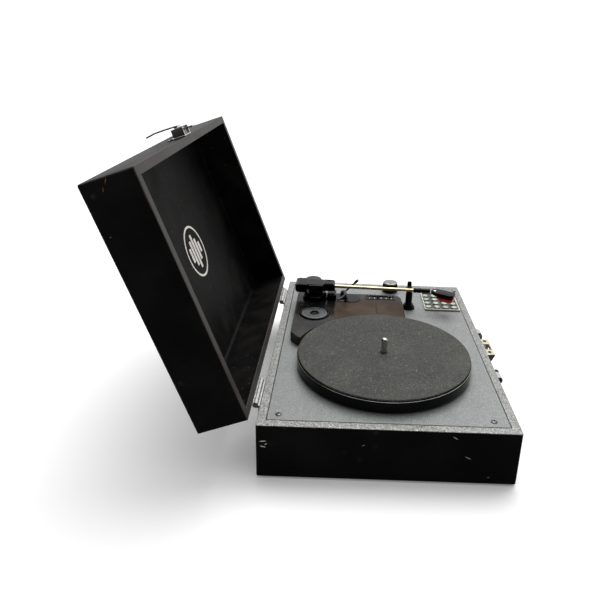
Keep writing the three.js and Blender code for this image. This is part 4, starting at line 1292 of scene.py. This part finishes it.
def build_keypad():
    low, high = extent("keypad_bezel")

    def choose(centres, normals):
        border = np.minimum.reduce([
            centres[:, 0] - low[0], high[0] - centres[:, 0], centres[:, 1] - low[1], high[1] - centres[:, 1],
        ])
        return np.where((centres[:, 2] > RIM + 1.6) | (border < 1.2), 1, 0)
    softened("keypad_bezel", [key_bed, frame_light], 0.2, 2, choose)
    profile = [
        (0, -1.6), (4.2, -1.6), (4.2, 1.2), (4.2, 2.6), (4.05, 3.1), (3.6, 3.5), (2.6, 3.75), (1.3, 3.87),
        (0, 3.9),
    ]
    for row in range(1, 5):
        for column in range(1, 5):
            node = f"key_{row}_{column}"
            key_low, key_high = extent(node)
            centre = (key_low + key_high) / 2
            form = revolve(profile, 40).move(centre[0], centre[1], RIM)
            piece(node + "_cap", form, [key_pale], node, (node,))


# ---- Lid ----

def build_lid():
    top = RIM + LID_HEIGHT
    rim = RIM + 0.3
    soft = 0.8
    profile = [
        (WALL, top), (WALL, rim + 0.4), (WALL - 0.4, rim), (soft, rim), (0.3 * soft, rim + 0.3 * soft),
        (0, rim + soft), (0, top - soft), (0.3 * soft, top - 0.3 * soft), (soft, top), (WALL - 0.5, top),
    ]
    tags = [1, 2, 2, 2, 2, 0, 0, 0, 0, 0]
    walls = frame_ring(-HALF_WIDTH, HALF_WIDTH, FRONT, BACK, 2.2, profile, tags)
    finishes = [lid_covering, lid_lining, lid_edge]
    piece("lid_walls", walls.opened(), finishes, "lid", ("lid_frame",))
    x, y = HALF_WIDTH - WALL - 0.3, BACK - WALL - 0.3
    panel = block(-x, x, -y, y, top - 5, top, 0.2)
    upper = [(c, 1) for c, _ in panel.faces[:-1]] + [(panel.faces[-1][0], 0)]
    panel = Form(panel.points, upper)
    piece("lid_board", panel.opened(), [lid_covering, lid_lining], "lid", ("lid_panel",))
    bead = frame_ring(-x - 0.3, x + 0.3, -y - 0.3, y + 0.3, 0.4, [
        (0.02, top - 5.0), (0.02, top - 7.6), (0.7, top - 7.2), (1.7, top - 6.3), (2.4, top - 5.4),
        (2.5, top - 5.0),
    ])
    piece("lid_bead", bead.opened(), [lid_lining], "lid")
    build_badge(top - 5)


def build_badge(face):
    """Round mark on the lid's inside: a plain ring round five upright level bars."""
    thickness = 0.25
    lower, upper = face - thickness, face + 0.05
    ring = revolve([(28.2, lower), (30.8, lower), (30.8, upper), (28.2, upper)], 120, closed=True)
    bars = []
    for n, tall in enumerate((17.0, 30.0, 41.0, 26.0, 13.0)):
        x = (n - 2) * 8.6
        bars.append(slab(rectangle(x - 3.0, x + 3.0, -tall / 2, tall / 2, 1.6, 5), lower, upper, 0.06, 2))
    mark = ring + joined(bars)
    piece("lid_badge", mark.opened(), [white_print], "lid")


# ---- Hinges, latch, handle ----

def build_hinges():
    for side in ("left", "right"):
        softened("hinge_base_" + side, [chrome], 0.2, 2)
        softened("hinge_lid_" + side, [chrome], 0.2, 2)
        low, high = extent("hinge_base_" + side)
        x = (low[0] + high[0]) / 2
        for n, dx in enumerate((-17, 0, 17)):
            head = screw(1.9, 0.8, 0.45).turn("X", -90)
            lower = head.move(x + dx, BACK + 1.55, RIM - 9.5)
            piece(f"hinge_screw_{side}_base_{n + 1}", lower, [steel], "base")
            upper = head.move(x + dx, BACK + 1.55, RIM + 9.5).opened()
            piece(f"hinge_screw_{side}_lid_{n + 1}", upper, [steel], "lid")


def build_latch():
    softened("latch_plate", [chrome], 0.25, 2)
    softened("latch_lever", [chrome], 0.3, 3)
    softened("latch_hook", [chrome], 0.2, 2)
    face = FRONT - 1.3
    for n, x in enumerate((-7.5, 7.5)):
        head = screw(1.8, 0.8, 0.45).turn("X", 90).move(x, face, RIM + 18.7).opened()
        piece(f"latch_screw_{n + 1}", head, [steel], "lid")

    high = extent("latch_strike")[1]

    def choose(centres, normals):
        return np.where(normals[:, 2] > 0.7, 0, 1)
    softened("latch_strike", [brass, chrome], 0.35, 2, choose)
    for n, x in enumerate((-14, 14)):
        head = screw(2.3, 0.8, 0.5).move(x, FRONT - 5.6, high[2] - 0.05)
        piece(f"strike_screw_{n + 1}", head, [dark_screw], "base")


HANDLE_HALF_SPAN = 55.0


def build_handle():
    low = extent("handle")[0]
    y, z = pivot("handle_swing")[1:]
    reach = 48.0
    leg_x = reach - 3.5
    bottom = low[2] + 4.3
    corners = [(-leg_x, y, z + 3.0), (-leg_x, y, bottom), (leg_x, y, bottom), (leg_x, y, z + 3.0)]
    flat = fillet([(c[0], c[2]) for c in corners], 9.0, 10, closed=False)
    fine = [flat[0]]
    for a, b in zip(flat[:-1], flat[1:]):
        count = max(1, int(np.linalg.norm(b - a) / 1.6))
        fine += [a + (b - a) * k / count for k in range(1, count + 1)]
    fine = np.array(fine)
    path = np.column_stack([fine[:, 0], np.full(len(fine), y), fine[:, 1]])
    middle = np.clip((np.abs(fine[:, 0]) - 34) / 8, 0, 1)
    low_part = (fine[:, 1] < bottom + 1).astype(float)
    thick = 0.86 + 0.14 * (1 - middle) * low_part
    section = fillet([(-3.9, -4.2), (3.9, -4.2), (3.9, 4.2), (-3.9, 4.2)], 2.6, 6)
    bail = along(path, section, (0, 1, 0), thick)
    piece("handle_bail", bail, [satin_black], "handle", ("handle",))
    rib_section = fillet([(-4.05, -4.28), (4.05, -4.28), (4.05, 4.28), (-4.05, 4.28)], 2.7, 6)
    ribs = []
    for n in range(-5, 6):
        x = n * 5.6
        rib_path = [(x - 0.7, y, bottom), (x, y, bottom), (x + 0.7, y, bottom)]
        ribs.append(along(rib_path, rib_section, (0, 1, 0), [0.985, 1.0, 0.985]))
    piece("handle_ribs", joined(ribs), [satin_black], "handle")
    for side in (-1, 1):
        name = "left" if side < 0 else "right"
        pin = revolve([(0, 0), (2, 0), (2, 17.0), (1.6, 17.5), (0, 17.5)], 32).turn("Y", 90 * side)
        piece("handle_pin_" + name, pin.move(side * (reach - 6.5), y, z), [steel], "handle")
        node = "handle_bracket_" + name
        softened(node, [chrome], 0.35, 3)
        for n, dz in enumerate((-7.2, 7.2)):
            head = screw(1.8, 0.8, 0.45).turn("X", 90).move(side * HANDLE_HALF_SPAN, FRONT - 1.75, z + dz)
            piece(f"bracket_screw_{name}_{n + 1}", head, [dark_screw], "base")


def build_inside():
    softened("keypad_board", [board_green], 0.1, 1)
    softened("main_board", [board_green], 0.2, 1)
    softened("speaker_left", [satin_black], 0.3)
    softened("speaker_right", [satin_black], 0.3)


build_case()
build_deck()
build_bottom()
build_jack()
build_platter()
build_drive()
build_platform()
build_adapter()
build_switch_knob("speed_switch")
build_switch_knob("auto_stop_switch")
build_arm()
build_rest()
build_cue()
build_knob("volume_knob", 11.0, (shell_black, knob_silver))
build_knob("tone_knob", 12.4, (shell_black, knob_smoke))
build_keypad()
build_lid()
build_hinges()
build_latch()
build_handle()
build_inside()


# ---- Floor, light and camera ----

def build_floor():
    made, shader, b, where = new_finish(
        "floor_white", Roughness=0.9, Specular_IOR_Level=0.0,
        Emission_Color=(1, 1, 1, 1), Emission_Strength=0.15,
    )
    tone = b.noise(where, 3.0, 2.0)
    dress(b, shader, b.blend(tone, (0.95, 0.95, 0.95, 1), (0.97, 0.97, 0.97, 1)))
    size = 6.0
    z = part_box("base_bottom")[0].z
    mesh = bpy.data.meshes.new("floor")
    corners = [(-size, -size, z), (size, -size, z), (size, size, z), (-size, size, z)]
    mesh.from_pydata(corners, [], [(0, 1, 2, 3)])
    mesh.materials.append(made)
    floor = bpy.data.objects.new("floor", mesh)
    bpy.context.scene.collection.objects.link(floor)
    floor.visible_glossy = False


def soft_sun(name, toward, spread, strength):
    """Even light from one direction, as wide as a large diffusing panel."""
    data = bpy.data.lights.new(name, "SUN")
    data.angle = math.radians(spread)
    data.energy = strength
    light = bpy.data.objects.new(name, data)
    light.matrix_world = Vector(toward).to_track_quat("Z", "Y").to_matrix().to_4x4()
    bpy.context.scene.collection.objects.link(light)


SUN_TOWARD = (0.5, -0.12, 1.0)
SUN_SPREAD = 46
SUN_STRENGTH = 2.0
GLOW_SPREAD = (-0.35, 0.75)
GLOW_LEVELS = (0.05, 0.98)
BACKDROP = 1.02


def build_world():
    """White behind everything; as a light it is bright above and far off, and dim on the near side."""
    world = bpy.data.worlds.new("studio")
    bpy.context.scene.world = world
    world.use_nodes = True
    b = Board(world.node_tree)
    background = world.node_tree.nodes["Background"]
    background.inputs["Color"].default_value = (1, 1, 1, 1)
    toward = b.node("ShaderNodeTexCoord").outputs["Generated"]
    parts = b.node("ShaderNodeSeparateXYZ", {"Vector": toward}).outputs
    lean = b.math("ADD", b.math("MULTIPLY", parts["X"], 0.8), b.math("MULTIPLY", parts["Z"], 0.6))
    glow = b.step(lean, *GLOW_SPREAD, *GLOW_LEVELS)
    seen = b.node("ShaderNodeLightPath").outputs["Is Camera Ray"]
    strength = b.math("MAXIMUM", glow, b.math("MULTIPLY", seen, BACKDROP))
    world.node_tree.links.new(strength, background.inputs["Strength"])


CAMERA_YAW = -0.049
CAMERA_PITCH = -19.666
CAMERA_ROLL = 2.037
CAMERA_PLACE = (-0.649425, 0.053203, 0.398735)
CAMERA_SHIFT = (-0.0664, -0.0735)
CAMERA_LENS = 35.42


def build_camera():
    """Camera turned by yaw about Z, then pitch, then rolled about its own line of sight."""
    yaw, pitch, roll = map(math.radians, (CAMERA_YAW, CAMERA_PITCH, CAMERA_ROLL))
    ahead = np.array([math.cos(pitch) * math.cos(yaw), math.cos(pitch) * math.sin(yaw), math.sin(pitch)])
    right = np.cross(ahead, (0, 0, 1))
    right /= np.linalg.norm(right)
    up = np.cross(right, ahead)
    level_right, level_up = right, up
    right = math.cos(roll) * level_right + math.sin(roll) * level_up
    up = math.cos(roll) * level_up - math.sin(roll) * level_right
    data = bpy.data.cameras.new("camera")
    data.sensor_width = 36.0
    data.lens = CAMERA_LENS
    data.shift_x, data.shift_y = CAMERA_SHIFT
    data.clip_start, data.clip_end = 0.01, 50.0
    camera = bpy.data.objects.new("camera", data)
    matrix = Matrix.Identity(4)
    for column, axis in enumerate((right, up, -ahead)):
        for row in range(3):
            matrix[row][column] = axis[row]
    matrix.translation = CAMERA_PLACE
    camera.matrix_world = matrix
    bpy.context.scene.collection.objects.link(camera)
    bpy.context.scene.camera = camera


build_floor()
build_world()
soft_sun("overhead", SUN_TOWARD, SUN_SPREAD, SUN_STRENGTH)
build_camera()
bpy.context.scene.view_settings.view_transform = "Standard"
